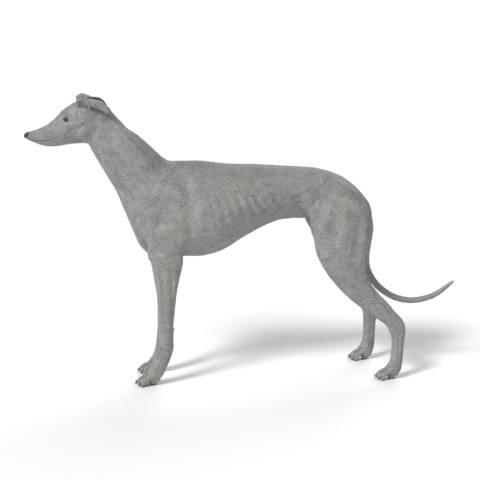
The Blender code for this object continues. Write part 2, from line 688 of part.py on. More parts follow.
def cut_mouth(head, work):
    """The line of the mouth: a thin curved slot round the muzzle, as deep as the lips."""
    rows = [tuple(point) for point in MOUTH_LINE]
    steps = 4
    line = [blended(rows, index / steps) for index in range(steps * (len(rows) - 1) + 1)]
    outline = [(x, z + MOUTH_GAP / 2) for x, z in line] + [(x, z - MOUTH_GAP / 2) for x, z in line[::-1]]
    shape = bmesh.new()
    for y in (-0.06, 0.06):
        ring = [shape.verts.new((x, y, z)) for x, z in outline]
        shape.faces.new(ring)
    near, far = shape.verts[:len(outline)], shape.verts[len(outline):]
    for index in range(len(outline)):
        after = (index + 1) % len(outline)
        shape.faces.new((near[index], near[after], far[after], far[index]))
    slot = object_from_bmesh("mouth_slot", shape, work)
    core = bmesh.new()
    slim = [Section(s.fore, s.hind, s.half_width * LIP_DEPTH, widest=s.widest) for s in HEAD]
    slim[0] = Section((-0.676, 0.7975), (-0.675, 0.782), 0.004)
    slim[1] = Section((-0.672, 0.8045), (-0.6705, 0.779), 0.0085)
    loft(core, slim)
    joined(slot, object_from_bmesh("mouth_core", core, work), "DIFFERENCE", "EXACT")
    joined(head, slot, "DIFFERENCE", "EXACT")
    largest_body(head)


def cut_nostrils(nose, work):
    """Two comma-shaped nostrils."""
    for side in SIDES.values():
        shape = bmesh.new()
        centre = Vector((NOSTRIL_PLACE.x, side * NOSTRIL_PLACE.y, NOSTRIL_PLACE.z))
        egg(shape, centre + Vector((-0.006, side * 0.001, 0)), centre + Vector((0.005, -side * 0.002, 0.001)),
            NOSTRIL_RADIUS, NOSTRIL_RADIUS * 1.15, (0, 0, 1), 12)
        egg(shape, centre + Vector((-0.001, side * 0.001, -0.001)),
            centre + Vector((0.006, side * 0.006, -0.002)),
            NOSTRIL_RADIUS * 0.6, NOSTRIL_RADIUS * 0.75, (0, 0, 1), 10)
        for piece in split_shells(shape, work):
            joined(nose, piece, "DIFFERENCE", "EXACT")
    largest_body(nose)


def split_shells(shape, work):
    """Each closed shell of the bmesh as an object of its own."""
    pieces = []
    for shell in connected(shape.faces):
        piece = bmesh.new()
        verts = {vert: piece.verts.new(vert.co) for face in shell for vert in face.verts}
        for face in shell:
            piece.faces.new([verts[vert] for vert in face.verts])
        pieces.append(object_from_bmesh("shell", piece, work))
    shape.free()
    return pieces


def add_claws(paw, print_x, stance, side, narrow, work):
    """A curved, tapering claw on each toe, fused with the paw."""
    for _, _, tip in toe_frames(print_x, stance, side, narrow):
        points, radii = [], []
        for index in range(CLAW_RINGS):
            share = index / (CLAW_RINGS - 1)
            bend = share * share
            points.append(tip + Vector((0.004 - CLAW_LENGTH * share * (1 - 0.12 * bend), 0.0,
                                        0.0010 + 0.0040 * share - 0.0125 * bend)))
            radii.append(CLAW_RADIUS * (1 - 0.80 * share ** 1.5))
        shape = bmesh.new()
        tapered(shape, points, radii, CLAW_SIDES)
        joined(paw, object_from_bmesh("claw", shape, work), "UNION", "EXACT")
    largest_body(paw)


@dataclass
class EarSlice:
    """One slice across an ear: its place, the way its back faces, its width and how far it curls."""

    place: tuple
    back: tuple
    width: float
    curl: float

    def values(self):
        """The slice as one row of numbers that can be blended with another."""
        return (*self.place, *self.back, self.width, self.curl)


# A rose ear, on the right side: it rises from the skull, folds and lies back along the neck
EAR = (
    EarSlice((-0.495, 0.026, 0.868), (0.30, -0.93, 0.15), 0.043, 1.7),
    EarSlice((-0.498, 0.031, 0.888), (0.28, -0.88, 0.35), 0.045, 2.0),
    EarSlice((-0.5035, 0.0365, 0.909), (0.10, -0.62, 0.78), 0.043, 2.4),
    EarSlice((-0.496, 0.0410, 0.9145), (0.05, -0.05, 0.99), 0.038, 2.6),
    EarSlice((-0.477, 0.0445, 0.9045), (-0.05, 0.50, 0.86), 0.036, 2.2),
    EarSlice((-0.455, 0.0440, 0.896), (-0.05, 0.80, 0.60), 0.031, 1.6),
    EarSlice((-0.437, 0.0425, 0.880), (-0.05, 0.92, 0.40), 0.020, 1.2),
    EarSlice((-0.428, 0.0410, 0.867), (-0.05, 0.92, 0.40), 0.006, 0.8),
)
EAR_ROWS = 14
EAR_COLUMNS = 10


def ear_sheet(slices, side):
    """The ear's outer face: a sheet that curls round its middle line."""
    rows = [piece.values() for piece in slices]
    shape = bmesh.new()
    thickness = shape.verts.layers.deform.verify()
    grid = []
    for step in range(EAR_ROWS + 1):
        place = (len(rows) - 1) * step / EAR_ROWS
        x, y, z, back_x, back_y, back_z, width, curl = blended(rows, place)
        x1, y1, z1 = blended(rows, min(place + 0.05, len(rows) - 1))[:3]
        x0, y0, z0 = blended(rows, max(place - 0.05, 0.0))[:3]
        middle = Vector((x, side * y, z))
        ahead = Vector((x1 - x0, side * (y1 - y0), z1 - z0)).normalized()
        back = Vector((back_x, side * back_y, back_z))
        back = (back - ahead * back.dot(ahead)).normalized()
        across = ahead.cross(back)
        radius = width / curl
        row = []
        for column in range(EAR_COLUMNS + 1):
            turn = curl * (column / EAR_COLUMNS - 0.5)
            point = middle - back * radius * (1 - cos(turn)) + across * radius * sin(turn)
            row.append(shape.verts.new(point))
            row[-1][thickness][0] = 1 - (1 - EAR_TIP_SHARE) * step / EAR_ROWS
        grid.append(row)
    for here, there in zip(grid, grid[1:]):
        for a, b, c, d in zip(here, here[1:], there[1:], there):
            shape.faces.new((a, b, c, d))
    return shape


def add_ear(head, name, side, work, parts):
    """One ear as a thin curled leaf, its root cut to the skull."""
    ear = object_from_bmesh(f"ear_{name}", ear_sheet(EAR, side), parts)
    ear.vertex_groups.new(name="thickness")
    wall = ear.modifiers.new("wall", "SOLIDIFY")
    wall.thickness = EAR_THICKNESS
    wall.vertex_group = "thickness"
    wall.offset = 0.0
    settle(ear)
    joined(ear, grown(head, GAP, work), "DIFFERENCE", "EXACT")
    largest_body(ear)
    ear.data.materials.append(finish(COAT))
    return ear


def main():
    """Builds every part."""
    clear_scene()
    parts = collection_named("greyhound")
    work = collection_named("cutters", drawn=False)
    flesh, eyes = whole_flesh(work)
    joined(flesh, block("under_the_floor", (-1, -1, -0.2), (1, 1, 0.0), work), "DIFFERENCE")
    tail_parts(flesh, work, parts)
    paws = {}
    for name, side in SIDES.items():
        for limb in LIMBS:
            part = part_off(flesh, mirrored(limb, name, side), work, parts)
            if "paw" in limb.name:
                paws[part.name] = part
    made = {region.name: part_off(flesh, region, work, parts) for region in MIDLINE}
    chest = object_from("chest", flesh.data.copy(), parts)
    chest.data.materials.clear()
    chest.data.materials.append(finish(COAT))
    head = made["head"]
    for name, side in SIDES.items():
        add_eye(head, name, side, eyes[name], work, parts)
    cut_mouth(head, work)
    for name, side in SIDES.items():
        add_ear(head, name, side, work, parts)
    nose = part_off(head, NOSE, work, parts)
    nose.data.materials.clear()
    nose.data.materials.append(finish(NOSE_LEATHER))
    cut_nostrils(nose, work)
    for name, side in SIDES.items():
        add_claws(paws[f"forepaw_{name}"], FORE_PRINT_X[name], FORE_STANCE, side, 1.0, work)
        add_claws(paws[f"hindpaw_{name}"], HIND_PRINT_X[name], HIND_STANCE, side, 0.96, work)
    for used in list(work.objects):
        bpy.data.objects.remove(used)


main()
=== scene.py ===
"""Looks of a life-size greyhound that stands still: one skin, its coat, eyes, nose, claws and hairs."""

import logging
import math
from dataclasses import dataclass, field
from enum import Enum
from typing import Iterable, Iterator

import bmesh
import bpy
import numpy as np
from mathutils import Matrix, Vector
from mathutils.bvhtree import BVHTree


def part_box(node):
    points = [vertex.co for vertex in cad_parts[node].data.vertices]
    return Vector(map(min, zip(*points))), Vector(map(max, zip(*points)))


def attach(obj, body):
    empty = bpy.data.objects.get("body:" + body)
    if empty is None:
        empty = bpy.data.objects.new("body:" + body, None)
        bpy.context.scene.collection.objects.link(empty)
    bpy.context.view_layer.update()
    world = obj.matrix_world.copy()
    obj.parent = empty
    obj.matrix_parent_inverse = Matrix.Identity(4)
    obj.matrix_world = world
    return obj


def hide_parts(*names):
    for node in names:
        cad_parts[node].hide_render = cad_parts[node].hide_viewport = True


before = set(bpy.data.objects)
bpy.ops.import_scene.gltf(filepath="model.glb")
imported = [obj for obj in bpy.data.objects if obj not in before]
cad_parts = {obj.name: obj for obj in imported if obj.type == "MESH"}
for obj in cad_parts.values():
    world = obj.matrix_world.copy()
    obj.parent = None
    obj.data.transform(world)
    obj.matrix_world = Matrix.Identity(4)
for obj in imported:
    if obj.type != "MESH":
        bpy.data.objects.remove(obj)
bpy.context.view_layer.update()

LOG = logging.getLogger("greyhound")
BODY = "root"
SEED = 11

# Everything of flesh, which the one skin stands for
EARS = ("ear_left", "ear_right")
FLESH = (
    "head", "neck", "chest", "loins",
    "forearm_left", "forearm_right", "forepaw_left", "forepaw_right",
    "thigh_left", "thigh_right", "shank_left", "shank_right", "hindpaw_left", "hindpaw_right",
    "tail_base", "tail_middle", "tail_tip",
)

Point = tuple[float, float, float]
Flat = tuple[float, float]


class Side(Enum):
    """The animal's own sides, with the sign that each has along Y."""

    LEFT = -1.0
    RIGHT = 1.0


class Facing(Enum):
    """From where a line is laid on the skin, as the way that its rays run."""

    SIDE = "side"
    INNER = "inner"
    ABOVE = "above"
    BELOW = "below"
    FRONT = "front"
    BEHIND = "behind"


class Limb(Enum):
    """Which leg a line is on, because the two of a pair don't stand level."""

    NONE = "none"
    FORE = "fore"
    HIND = "hind"


# How far the right leg stands from the left one along X, at rising heights
LEG_OFFSET = {
    Limb.NONE: ((0.0, 0.0),),
    Limb.FORE: ((0.03, 0.016), (0.10, 0.0132), (0.18, 0.0103), (0.26, 0.008), (0.34, 0.0063), (0.42, 0.0)),
    Limb.HIND: ((0.03, -0.045), (0.14, -0.0467), (0.18, -0.0376), (0.22, -0.0243), (0.26, -0.0129),
                (0.30, -0.0018), (0.34, 0.0071), (0.38, 0.0133), (0.42, 0.0112), (0.46, 0.0046), (0.50, 0.0)),
}


def leg_offset(limb: Limb, side: Side, height: float) -> float:
    """How far a leg stands from the left one of its pair, along X.

    Args:
        limb: The pair.
        side: The side of the animal.
        height: The height above the floor.

    Returns:
        The distance, 0 on the left.
    """
    return float(np.interp(height, *zip(*LEG_OFFSET[limb]))) if side is Side.RIGHT else 0.0


@dataclass(frozen=True)
class Stroke:
    """A line pressed into the skin or raised from it.

    The line's points are (x, z) as seen from the side, (x, y) from above or below and (y, z) from the
    front or behind, on the left of the animal, and the right side gets its mirror image.
    """

    line: tuple[Flat, ...]
    width: float
    rise: float
    facing: Facing = Facing.SIDE
    limb: Limb = Limb.NONE
    steep: float = 2.0


@dataclass(frozen=True)
class Bone:
    """A straight stretch of the body: the hair runs along it from start to end."""

    start: Point
    end: Point
    reach: float
    region: str


def limb_bones(side: Side) -> list[Bone]:
    """The stretches of both legs and the ear of one side.

    Args:
        side: The side of the animal.

    Returns:
        The stretches, from the top of each limb to its toes.
    """
    s = side.value

    def at(x: float, y: float, z: float, limb: Limb) -> Point:
        """One point of a limb, moved along X where the two of a pair don't stand level."""
        return (x + leg_offset(limb, side, z), s * y, z)

    fore = [(-0.262, 0.066, 0.600), (-0.262, 0.062, 0.430), (-0.256, 0.061, 0.250), (-0.256, 0.060, 0.120),
            (-0.290, 0.060, 0.042), (-0.352, 0.060, 0.012)]
    hind = [(0.285, 0.070, 0.600), (0.290, 0.086, 0.450), (0.330, 0.094, 0.340), (0.462, 0.102, 0.190),
            (0.466, 0.102, 0.050), (0.400, 0.102, 0.012)]
    fore_reach = (0.050, 0.034, 0.024, 0.022, 0.024)
    hind_reach = (0.070, 0.062, 0.036, 0.024, 0.024)
    made = []
    for points, reaches, limb, region in (
        (fore, fore_reach, Limb.FORE, "foreleg"),
        (hind, hind_reach, Limb.HIND, "hindleg"),
    ):
        placed = [at(*point, limb) for point in points]
        for index, reach in enumerate(reaches):
            name = "paw" if index == len(reaches) - 1 else region
            made.append(Bone(placed[index], placed[index + 1], reach, name))
    ear = [(-0.500, 0.030, 0.893), (-0.488, 0.042, 0.912), (-0.462, 0.045, 0.908), (-0.428, 0.042, 0.874)]
    for here, there in zip(ear, ear[1:]):
        made.append(Bone(*((x, s * y, z) for x, y, z in (here, there)), 0.011, "ear"))
    return made


MIDDLE_BONES = (
    Bone((-0.690, 0.0, 0.795), (-0.600, 0.0, 0.815), 0.018, "head"),
    Bone((-0.600, 0.0, 0.815), (-0.480, 0.0, 0.860), 0.036, "head"),
    Bone((-0.590, 0.0, 0.775), (-0.500, 0.0, 0.780), 0.020, "head"),
    Bone((-0.470, 0.0, 0.850), (-0.320, 0.0, 0.670), 0.058, "neck"),
    Bone((-0.320, 0.0, 0.660), (-0.050, 0.0, 0.605), 0.085, "chest"),
    Bone((-0.380, 0.0, 0.600), (-0.330, 0.0, 0.470), 0.050, "chest"),
    Bone((-0.320, 0.0, 0.470), (-0.060, 0.0, 0.460), 0.070, "chest"),
    Bone((-0.060, 0.0, 0.460), (0.180, 0.0, 0.560), 0.060, "chest"),
    Bone((-0.050, 0.0, 0.610), (0.240, 0.0, 0.610), 0.075, "loins"),
    Bone((0.240, 0.0, 0.600), (0.385, 0.0, 0.520), 0.080, "loins"),
    Bone((0.388, 0.0, 0.520), (0.3915, 0.0, 0.430), 0.014, "tail"),
    Bone((0.3915, 0.0, 0.430), (0.3870, 0.0, 0.370), 0.013, "tail"),
    Bone((0.3870, 0.0, 0.370), (0.4110, 0.0, 0.300), 0.012, "tail"),
    Bone((0.4110, 0.0, 0.300), (0.4850, 0.0, 0.240), 0.011, "tail"),
    Bone((0.4850, 0.0, 0.240), (0.5850, 0.0, 0.232), 0.010, "tail"),
    Bone((0.5850, 0.0, 0.232), (0.6780, 0.0, 0.286), 0.009, "tail"),
)


def relaxed(points: np.ndarray, edges: np.ndarray, rounds: int, strength: np.ndarray | float,
            push: float = -0.53) -> np.ndarray:
    """Smooths places on a mesh without letting thin forms shrink away.

    Args:
        points: The vertices' places.
        edges: Pairs of vertex numbers.
        rounds: How many times to smooth.
        strength: How much each vertex follows, from 0 to 1.
        push: How far each round swells the mesh again, as a negative share.

    Returns:
        The new places.
    """
    count = len(points)
    ends = np.concatenate([edges[:, 0], edges[:, 1]])
    others = np.concatenate([edges[:, 1], edges[:, 0]])
    degree = np.maximum(np.bincount(ends, minlength=count), 1)[:, None]
    follow = np.asarray(strength, float)
    follow = follow[:, None] if follow.ndim else follow
    for _ in range(rounds):
        for pull in (0.5, push) if push else (0.5,):
            total = np.stack([np.bincount(ends, points[others, axis], count) for axis in range(3)], 1)
            points = points + pull * follow * (total / degree - points)
    return points


def blurred(values: np.ndarray, edges: np.ndarray, rounds: int) -> np.ndarray:
    """Evens out one number per vertex over its neighbours.

    Args:
        values: The numbers.
        edges: Pairs of vertex numbers.
        rounds: How many times to do it.

    Returns:
        The new numbers.
    """
    count = len(values)
    degree = np.maximum(np.bincount(edges.ravel(), minlength=count), 1)
    for _ in range(rounds):
        total = np.bincount(edges[:, 0], values[edges[:, 1]], count)
        total += np.bincount(edges[:, 1], values[edges[:, 0]], count)
        values = 0.5 * values + 0.5 * total / degree
    return values


def places(mesh: bpy.types.Mesh) -> np.ndarray:
    """The vertices' places of a mesh, as rows of three numbers."""
    flat = np.empty(len(mesh.vertices) * 3, np.float32)
    mesh.vertices.foreach_get("co", flat)
    return flat.reshape(-1, 3).astype(float)


def move_to(mesh: bpy.types.Mesh, points: np.ndarray) -> None:
    """Puts the vertices of a mesh at new places.

    Args:
        mesh: The mesh.
        points: One place for each vertex.
    """
    mesh.vertices.foreach_set("co", points.astype(np.float32).ravel())
    mesh.update()


def outward(mesh: bpy.types.Mesh) -> np.ndarray:
    """The vertices' normals of a mesh."""
    flat = np.empty(len(mesh.vertices) * 3, np.float32)
    mesh.vertex_normals.foreach_get("vector", flat)
    return flat.reshape(-1, 3).astype(float)


def edge_pairs(mesh: bpy.types.Mesh) -> np.ndarray:
    """The edges of a mesh, as pairs of vertex numbers."""
    flat = np.empty(len(mesh.edges) * 2, np.int32)
    mesh.edges.foreach_get("vertices", flat)
    return flat.reshape(-1, 2)


def triangles(mesh: bpy.types.Mesh) -> np.ndarray:
    """The faces of a mesh as triangles of vertex numbers."""
    mesh.calc_loop_triangles()
    flat = np.empty(len(mesh.loop_triangles) * 3, np.int32)
    mesh.loop_triangles.foreach_get("vertices", flat)
    return flat.reshape(-1, 3)


def linked(name: str, mesh: bpy.types.Mesh) -> bpy.types.Object:
    """A new object of this mesh, in the scene.

    Args:
        name: The object's name.
        mesh: Its mesh.

    Returns:
        The object.
    """
    made = bpy.data.objects.new(name, mesh)
    bpy.context.scene.collection.objects.link(made)
    return made


def drop(obj: bpy.types.Object) -> None:
    """Removes a helper object and its mesh."""
    mesh = obj.data
    bpy.data.objects.remove(obj)
    if mesh and not mesh.users:
        bpy.data.meshes.remove(mesh)


def applied(obj: bpy.types.Object) -> bpy.types.Mesh:
    """Works out an object's modifiers, and gives it the mesh that they make.

    Args:
        obj: The object. Its modifiers are removed.

    Returns:
        The new mesh.
    """
    graph = bpy.context.evaluated_depsgraph_get()
    mesh = bpy.data.meshes.new_from_object(obj.evaluated_get(graph))
    old = obj.data
    obj.modifiers.clear()
    obj.data = mesh
    if not old.users:
        bpy.data.meshes.remove(old)
    return mesh


def curve_through(points: Iterable[tuple], step: float) -> np.ndarray:
    """Points at even steps on a smooth line through some places.

    Args:
        points: The places, of two or three numbers each.
        step: The distance between two new points.

    Returns:
        The new points.
    """
    rows = np.array(list(points), float)
    if len(rows) == 1:
        return rows
    padded = np.vstack([2 * rows[0] - rows[1], rows, 2 * rows[-1] - rows[-2]])
    made = []
    for index in range(1, len(padded) - 2):
        a, b, c, d = padded[index - 1:index + 3]
        count = max(1, int(np.ceil(np.linalg.norm(c - b) / step)))
        share = (np.arange(count) / count)[:, None]
        made.append(0.5 * (2 * b + (c - a) * share + (2 * a - 5 * b + 4 * c - d) * share ** 2
                           + (3 * b - a - 3 * c + d) * share ** 3))
    return np.vstack(made + [rows[-1:]])


# Finishes

def node_at(tree: bpy.types.NodeTree, kind: str, **values: object) -> bpy.types.Node:
    """Adds a node to a tree and sets it up.

    Args:
        tree: The node tree.
        kind: The node's type.
        values: Its attributes, or its inputs where the name starts with in_.

    Returns:
        The node.
    """
    made = tree.nodes.new(kind)
    for name, value in values.items():
        if name.startswith("in_"):
            key = name[3:]
            socket = made.inputs[int(key)] if key.isdigit() else made.inputs[key.replace("_", " ")]
            socket.default_value = value
        else:
            setattr(made, name, value)
    return made


@dataclass(frozen=True)
class Colour:
    """A colour in linear light."""

    red: float
    green: float
    blue: float

    def rgba(self) -> tuple[float, float, float, float]:
        """The colour with full alpha."""
        return (self.red, self.green, self.blue, 1.0)


class Painter:
    """Builds the node tree of one material or node group, in plain steps."""

    def __init__(self, tree: bpy.types.NodeTree) -> None:
        """Keeps the tree that the steps add to."""
        self.tree = tree

    def join(self, source: object, target: bpy.types.NodeSocket) -> None:
        """Links a socket, or sets a plain value, to an input."""
        if isinstance(source, bpy.types.NodeSocket):
            self.tree.links.new(source, target)
        else:
            target.default_value = source

    def place(self) -> bpy.types.NodeSocket:
        """The place on the piece, in Object coordinates."""
        return node_at(self.tree, "ShaderNodeTexCoord").outputs["Object"]

    def mark(self, name: str) -> bpy.types.NodeSocket:
        """A number painted on the mesh.

        Args:
            name: The attribute's name.

        Returns:
            The number's socket.
        """
        return node_at(self.tree, "ShaderNodeAttribute", attribute_name=name).outputs["Fac"]

    def noise(self, where: object, scale: float, detail: float = 3.0, rough: float = 0.5) -> bpy.types.NodeSocket:
        """Soft noise.

        Args:
            where: The place to read it at.
            scale: How many patches fit in a metre.
            detail: How many finer layers it has.
            rough: How strong these are.

        Returns:
            The noise, from about 0.25 to 0.75.
        """
        made = node_at(self.tree, "ShaderNodeTexNoise", in_Scale=scale, in_Detail=detail, in_Roughness=rough)
        self.join(where, made.inputs["Vector"])
        return made.outputs["Fac"]

    def maths(self, operation: str, first: object, second: object = 0.0) -> bpy.types.NodeSocket:
        """One sum of two numbers."""
        made = node_at(self.tree, "ShaderNodeMath", operation=operation)
        self.join(first, made.inputs[0])
        self.join(second, made.inputs[1])
        return made.outputs[0]

    def ramp(self, value: object, low: float, high: float, start: float = 0.0, end: float = 1.0,
             smooth: bool = True) -> bpy.types.NodeSocket:
        """Maps a number from one range to another, and holds it there.

        Args:
            value: The number.
            low: The start of its range.
            high: The end of its range.
            start: What low becomes.
            end: What high becomes.
            smooth: Whether the change eases in and out.

        Returns:
            The new number.
        """
        made = node_at(self.tree, "ShaderNodeMapRange", clamp=True,
                       interpolation_type="SMOOTHSTEP" if smooth else "LINEAR")
        self.join(value, made.inputs["Value"])
        for name, number in (("From Min", low), ("From Max", high), ("To Min", start), ("To Max", end)):
            self.join(number, made.inputs[name])
        return made.outputs["Result"]

    def mix(self, share: object, first: object, second: object, how: str = "MIX") -> bpy.types.NodeSocket:
        """Mixes two colours."""
        made = node_at(self.tree, "ShaderNodeMix", data_type="RGBA", blend_type=how)
        self.join(share, made.inputs[0])
        self.join(first, made.inputs[6])
        self.join(second, made.inputs[7])
        return made.outputs[2]

    def stretched(self, where: object, scale: Point) -> bpy.types.NodeSocket:
        """Stretches a place along its axes."""
        made = node_at(self.tree, "ShaderNodeMapping")
        made.inputs["Scale"].default_value = scale
        self.join(where, made.inputs["Vector"])
        return made.outputs["Vector"]

    def bump(self, height: object, strength: float, distance: float, under: object = None) -> bpy.types.NodeSocket:
        """A relief of the surface.

        Args:
            height: The height, as a number.
            strength: How strong the relief is.
            distance: How high it is, in metres.
            under: The normal of a relief below it.

        Returns:
            The normal.
        """
        made = node_at(self.tree, "ShaderNodeBump", in_Strength=strength, in_Distance=distance)
        self.join(height, made.inputs["Height"])
        if under is not None:
            self.join(under, made.inputs["Normal"])
        return made.outputs["Normal"]


def principled(name: str, **values: object) -> tuple[bpy.types.Material, Painter, bpy.types.Node]:
    """A new material.

    Args:
        name: Its name.
        values: Plain values of the shader's own sockets.

    Returns:
        The material, the painter of its tree and its shader.
    """
    made = bpy.data.materials.new(name)
    made.use_nodes = True
    shader = made.node_tree.nodes["Principled BSDF"]
    for key, value in values.items():
        shader.inputs[key.replace("_", " ")].default_value = value
    return made, Painter(made.node_tree), shader


def grain_group() -> bpy.types.NodeTree:
    """The node group for fine specks, which coat, leather and hair share.

    Returns:
        The group, with inputs Vector, Scale, Low and High, and the output Mask.
    """
    name = "grain"
    if name in bpy.data.node_groups:
        return bpy.data.node_groups[name]
    tree = bpy.data.node_groups.new(name, "ShaderNodeTree")
    for label, kind, value in (("Vector", "NodeSocketVector", None), ("Scale", "NodeSocketFloat", 300.0),
                               ("Low", "NodeSocketFloat", 0.45), ("High", "NodeSocketFloat", 0.65)):
        socket = tree.interface.new_socket(label, in_out="INPUT", socket_type=kind)
        if value is not None:
            socket.default_value = value
    tree.interface.new_socket("Mask", in_out="OUTPUT", socket_type="NodeSocketFloat")
    start, end = tree.nodes.new("NodeGroupInput"), tree.nodes.new("NodeGroupOutput")
    noise = node_at(tree, "ShaderNodeTexNoise", in_Detail=3.0, in_Roughness=0.6)
    held = node_at(tree, "ShaderNodeMapRange", clamp=True, interpolation_type="SMOOTHSTEP")
    for source, target in (
        (start.outputs["Vector"], noise.inputs["Vector"]),
        (start.outputs["Scale"], noise.inputs["Scale"]),
        (noise.outputs["Fac"], held.inputs["Value"]),
        (start.outputs["Low"], held.inputs["From Min"]),
        (start.outputs["High"], held.inputs["From Max"]),
        (held.outputs["Result"], end.inputs["Mask"]),
    ):
        tree.links.new(source, target)
    return tree


def grain(painter: Painter, where: object, scale: float, low: float, high: float) -> bpy.types.NodeSocket:
    """Places the grain group in a material.

    Args:
        painter: The material's painter.
        where: The place to read it at.
        scale: How many specks fit in a metre.
        low: Where the noise starts to show.
        high: Where it is full.

    Returns:
        The mask.
    """
    made = node_at(painter.tree, "ShaderNodeGroup", node_tree=grain_group())
    painter.join(where, made.inputs["Vector"])
    for label, value in (("Scale", scale), ("Low", low), ("High", high)):
        made.inputs[label].default_value = value
    return made.outputs["Mask"]


@dataclass(frozen=True)
class CoatFinish:
    """The short grey coat, on the skin and on its tufts alike."""

    cool: Colour = Colour(0.272, 0.278, 0.281)
    warm: Colour = Colour(0.312, 0.309, 0.293)
    dark: Colour = Colour(0.112, 0.114, 0.116)
    pale: Colour = Colour(0.410, 0.408, 0.395)
    tan: Colour = Colour(0.360, 0.325, 0.245)
    bare: Colour = Colour(0.300, 0.235, 0.215)
    leather: Colour = Colour(0.030, 0.030, 0.032)
    cloud_scale: float = 7.5
    mottle_scale: float = 34.0
    grain_scale: float = 210.0
    fleck_scale: float = 128.0
    tick_scale: float = 70.0
    roughness: float = 0.56

    def material(self, name: str, relief: bool) -> bpy.types.Material:
        """Makes the material.

        Args:
            name: Its name.
            relief: Whether the hairs show as relief too, as on the skin.

        Returns:
            The material. It reads the attributes shade, bare and pad, and with relief the map lie.
        """
        made, paint, shader = principled(name, Roughness=self.roughness, Sheen_Weight=0.18,
                                         Sheen_Roughness=0.45)
        shader.inputs["Specular IOR Level"].default_value = 0.42
        place = paint.place()
        clouds = paint.ramp(paint.noise(place, self.cloud_scale, 4.0, 0.55), 0.36, 0.64)
        colour = paint.mix(clouds, self.cool.rgba(), self.warm.rgba())
        mottles = paint.noise(place, self.mottle_scale, 5.0, 0.62)
        colour = paint.mix(paint.ramp(mottles, 0.30, 0.56, 0.36, 0.0), colour, self.dark.rgba())
        colour = paint.mix(paint.ramp(mottles, 0.52, 0.78, 0.0, 0.34), colour, self.pale.rgba())
        fine = paint.noise(place, self.grain_scale, 2.0, 0.55)
        colour = paint.mix(paint.ramp(fine, 0.30, 0.52, 0.42, 0.0), colour, self.dark.rgba())
        colour = paint.mix(paint.ramp(fine, 0.50, 0.72, 0.0, 0.45), colour, self.pale.rgba())
        flecks = grain(paint, place, self.fleck_scale, 0.625, 0.665)
        colour = paint.mix(paint.maths("MULTIPLY", flecks, 0.88), colour, self.dark.rgba())
        ticks = grain(paint, place, self.tick_scale, 0.66, 0.71)
        colour = paint.mix(paint.maths("MULTIPLY", ticks, 0.75), colour, self.tan.rgba())
        shade = paint.mark("shade")
        colour = paint.mix(paint.ramp(shade, 0.0, 1.0, 0.0, 0.85, False), colour, self.dark.rgba())
        colour = paint.mix(paint.ramp(shade, 0.0, -1.0, 0.0, 0.60, False), colour, self.pale.rgba())
        colour = paint.mix(paint.maths("MULTIPLY", paint.mark("bare"), 0.65), colour, self.bare.rgba())
        pad = paint.mark("pad")
        colour = paint.mix(pad, colour, self.leather.rgba())
        if relief:
            along = node_at(paint.tree, "ShaderNodeUVMap", uv_map="lie").outputs["UV"]
            hairs = paint.noise(paint.stretched(along, (140.0, 1500.0, 1.0)), 1.0, 3.0, 0.6)
            locks = paint.noise(paint.stretched(along, (45.0, 420.0, 1.0)), 1.0, 2.0, 0.5)
            streaks = paint.ramp(locks, 0.38, 0.62, -0.5, 0.5)
            colour = paint.mix(paint.ramp(streaks, -0.5, 0.5, 0.10, 0.0), colour, self.dark.rgba())
            skin = paint.bump(paint.noise(place, 900.0, 2.0, 0.5), 0.10, 0.0004)
            paint.join(paint.bump(paint.maths("ADD", hairs, locks), 0.42, 0.0006, skin),
                       shader.inputs["Normal"])
        paint.join(colour, shader.inputs["Base Color"])
        paint.join(paint.ramp(pad, 0.0, 1.0, self.roughness, 0.48), shader.inputs["Roughness"])
        return made


@dataclass(frozen=True)
class LeatherFinish:
    """Moist, pebbled leather of the nose, and the smooth dark rims of the eyes."""

    colour: Colour = Colour(0.020, 0.021, 0.023)
    worn: Colour = Colour(0.052, 0.050, 0.050)
    pebble: float = 1100.0
    roughness: float = 0.30
    relief: float = 0.55

    def material(self, name: str) -> bpy.types.Material:
        """Makes the material.

        Args:
            name: Its name.

        Returns:
            The material.
        """
        made, paint, shader = principled(name, Coat_Weight=0.30, Coat_Roughness=0.20)
        place = paint.place()
        cells = node_at(paint.tree, "ShaderNodeTexVoronoi", feature="DISTANCE_TO_EDGE", in_Scale=self.pebble)
        paint.join(place, cells.inputs["Vector"])
        pebbles = paint.ramp(cells.outputs["Distance"], 0.0, 0.28)
        patches = grain(paint, place, 160.0, 0.40, 0.70)
        paint.join(paint.mix(patches, self.colour.rgba(), self.worn.rgba()), shader.inputs["Base Color"])
        paint.join(paint.ramp(pebbles, 0.0, 1.0, self.roughness + 0.22, self.roughness),
                   shader.inputs["Roughness"])
        paint.join(paint.bump(pebbles, self.relief, 0.0003), shader.inputs["Normal"])
        return made


@dataclass(frozen=True)
class HornFinish:
    """Dark horn of the claws, worn paler at the tips."""

    colour: Colour = Colour(0.040, 0.037, 0.036)
    worn: Colour = Colour(0.160, 0.140, 0.122)
    roughness: float = 0.36

    def material(self, name: str) -> bpy.types.Material:
        """Makes the material, which reads the attribute worn.

        Args:
            name: Its name.

        Returns:
            The material.
        """
        made, paint, shader = principled(name, Coat_Weight=0.15, Coat_Roughness=0.30)
        place = paint.place()
        streaks = paint.noise(paint.stretched(place, (160.0, 1400.0, 900.0)), 1.0, 3.0, 0.6)
        share = paint.maths("MULTIPLY", paint.mark("worn"), paint.ramp(streaks, 0.30, 0.65, 0.55, 1.0))
        paint.join(paint.mix(share, self.colour.rgba(), self.worn.rgba()), shader.inputs["Base Color"])
        paint.join(paint.ramp(streaks, 0.3, 0.7, self.roughness, self.roughness + 0.18),
                   shader.inputs["Roughness"])
        paint.join(paint.bump(streaks, 0.30, 0.0003), shader.inputs["Normal"])
        return made


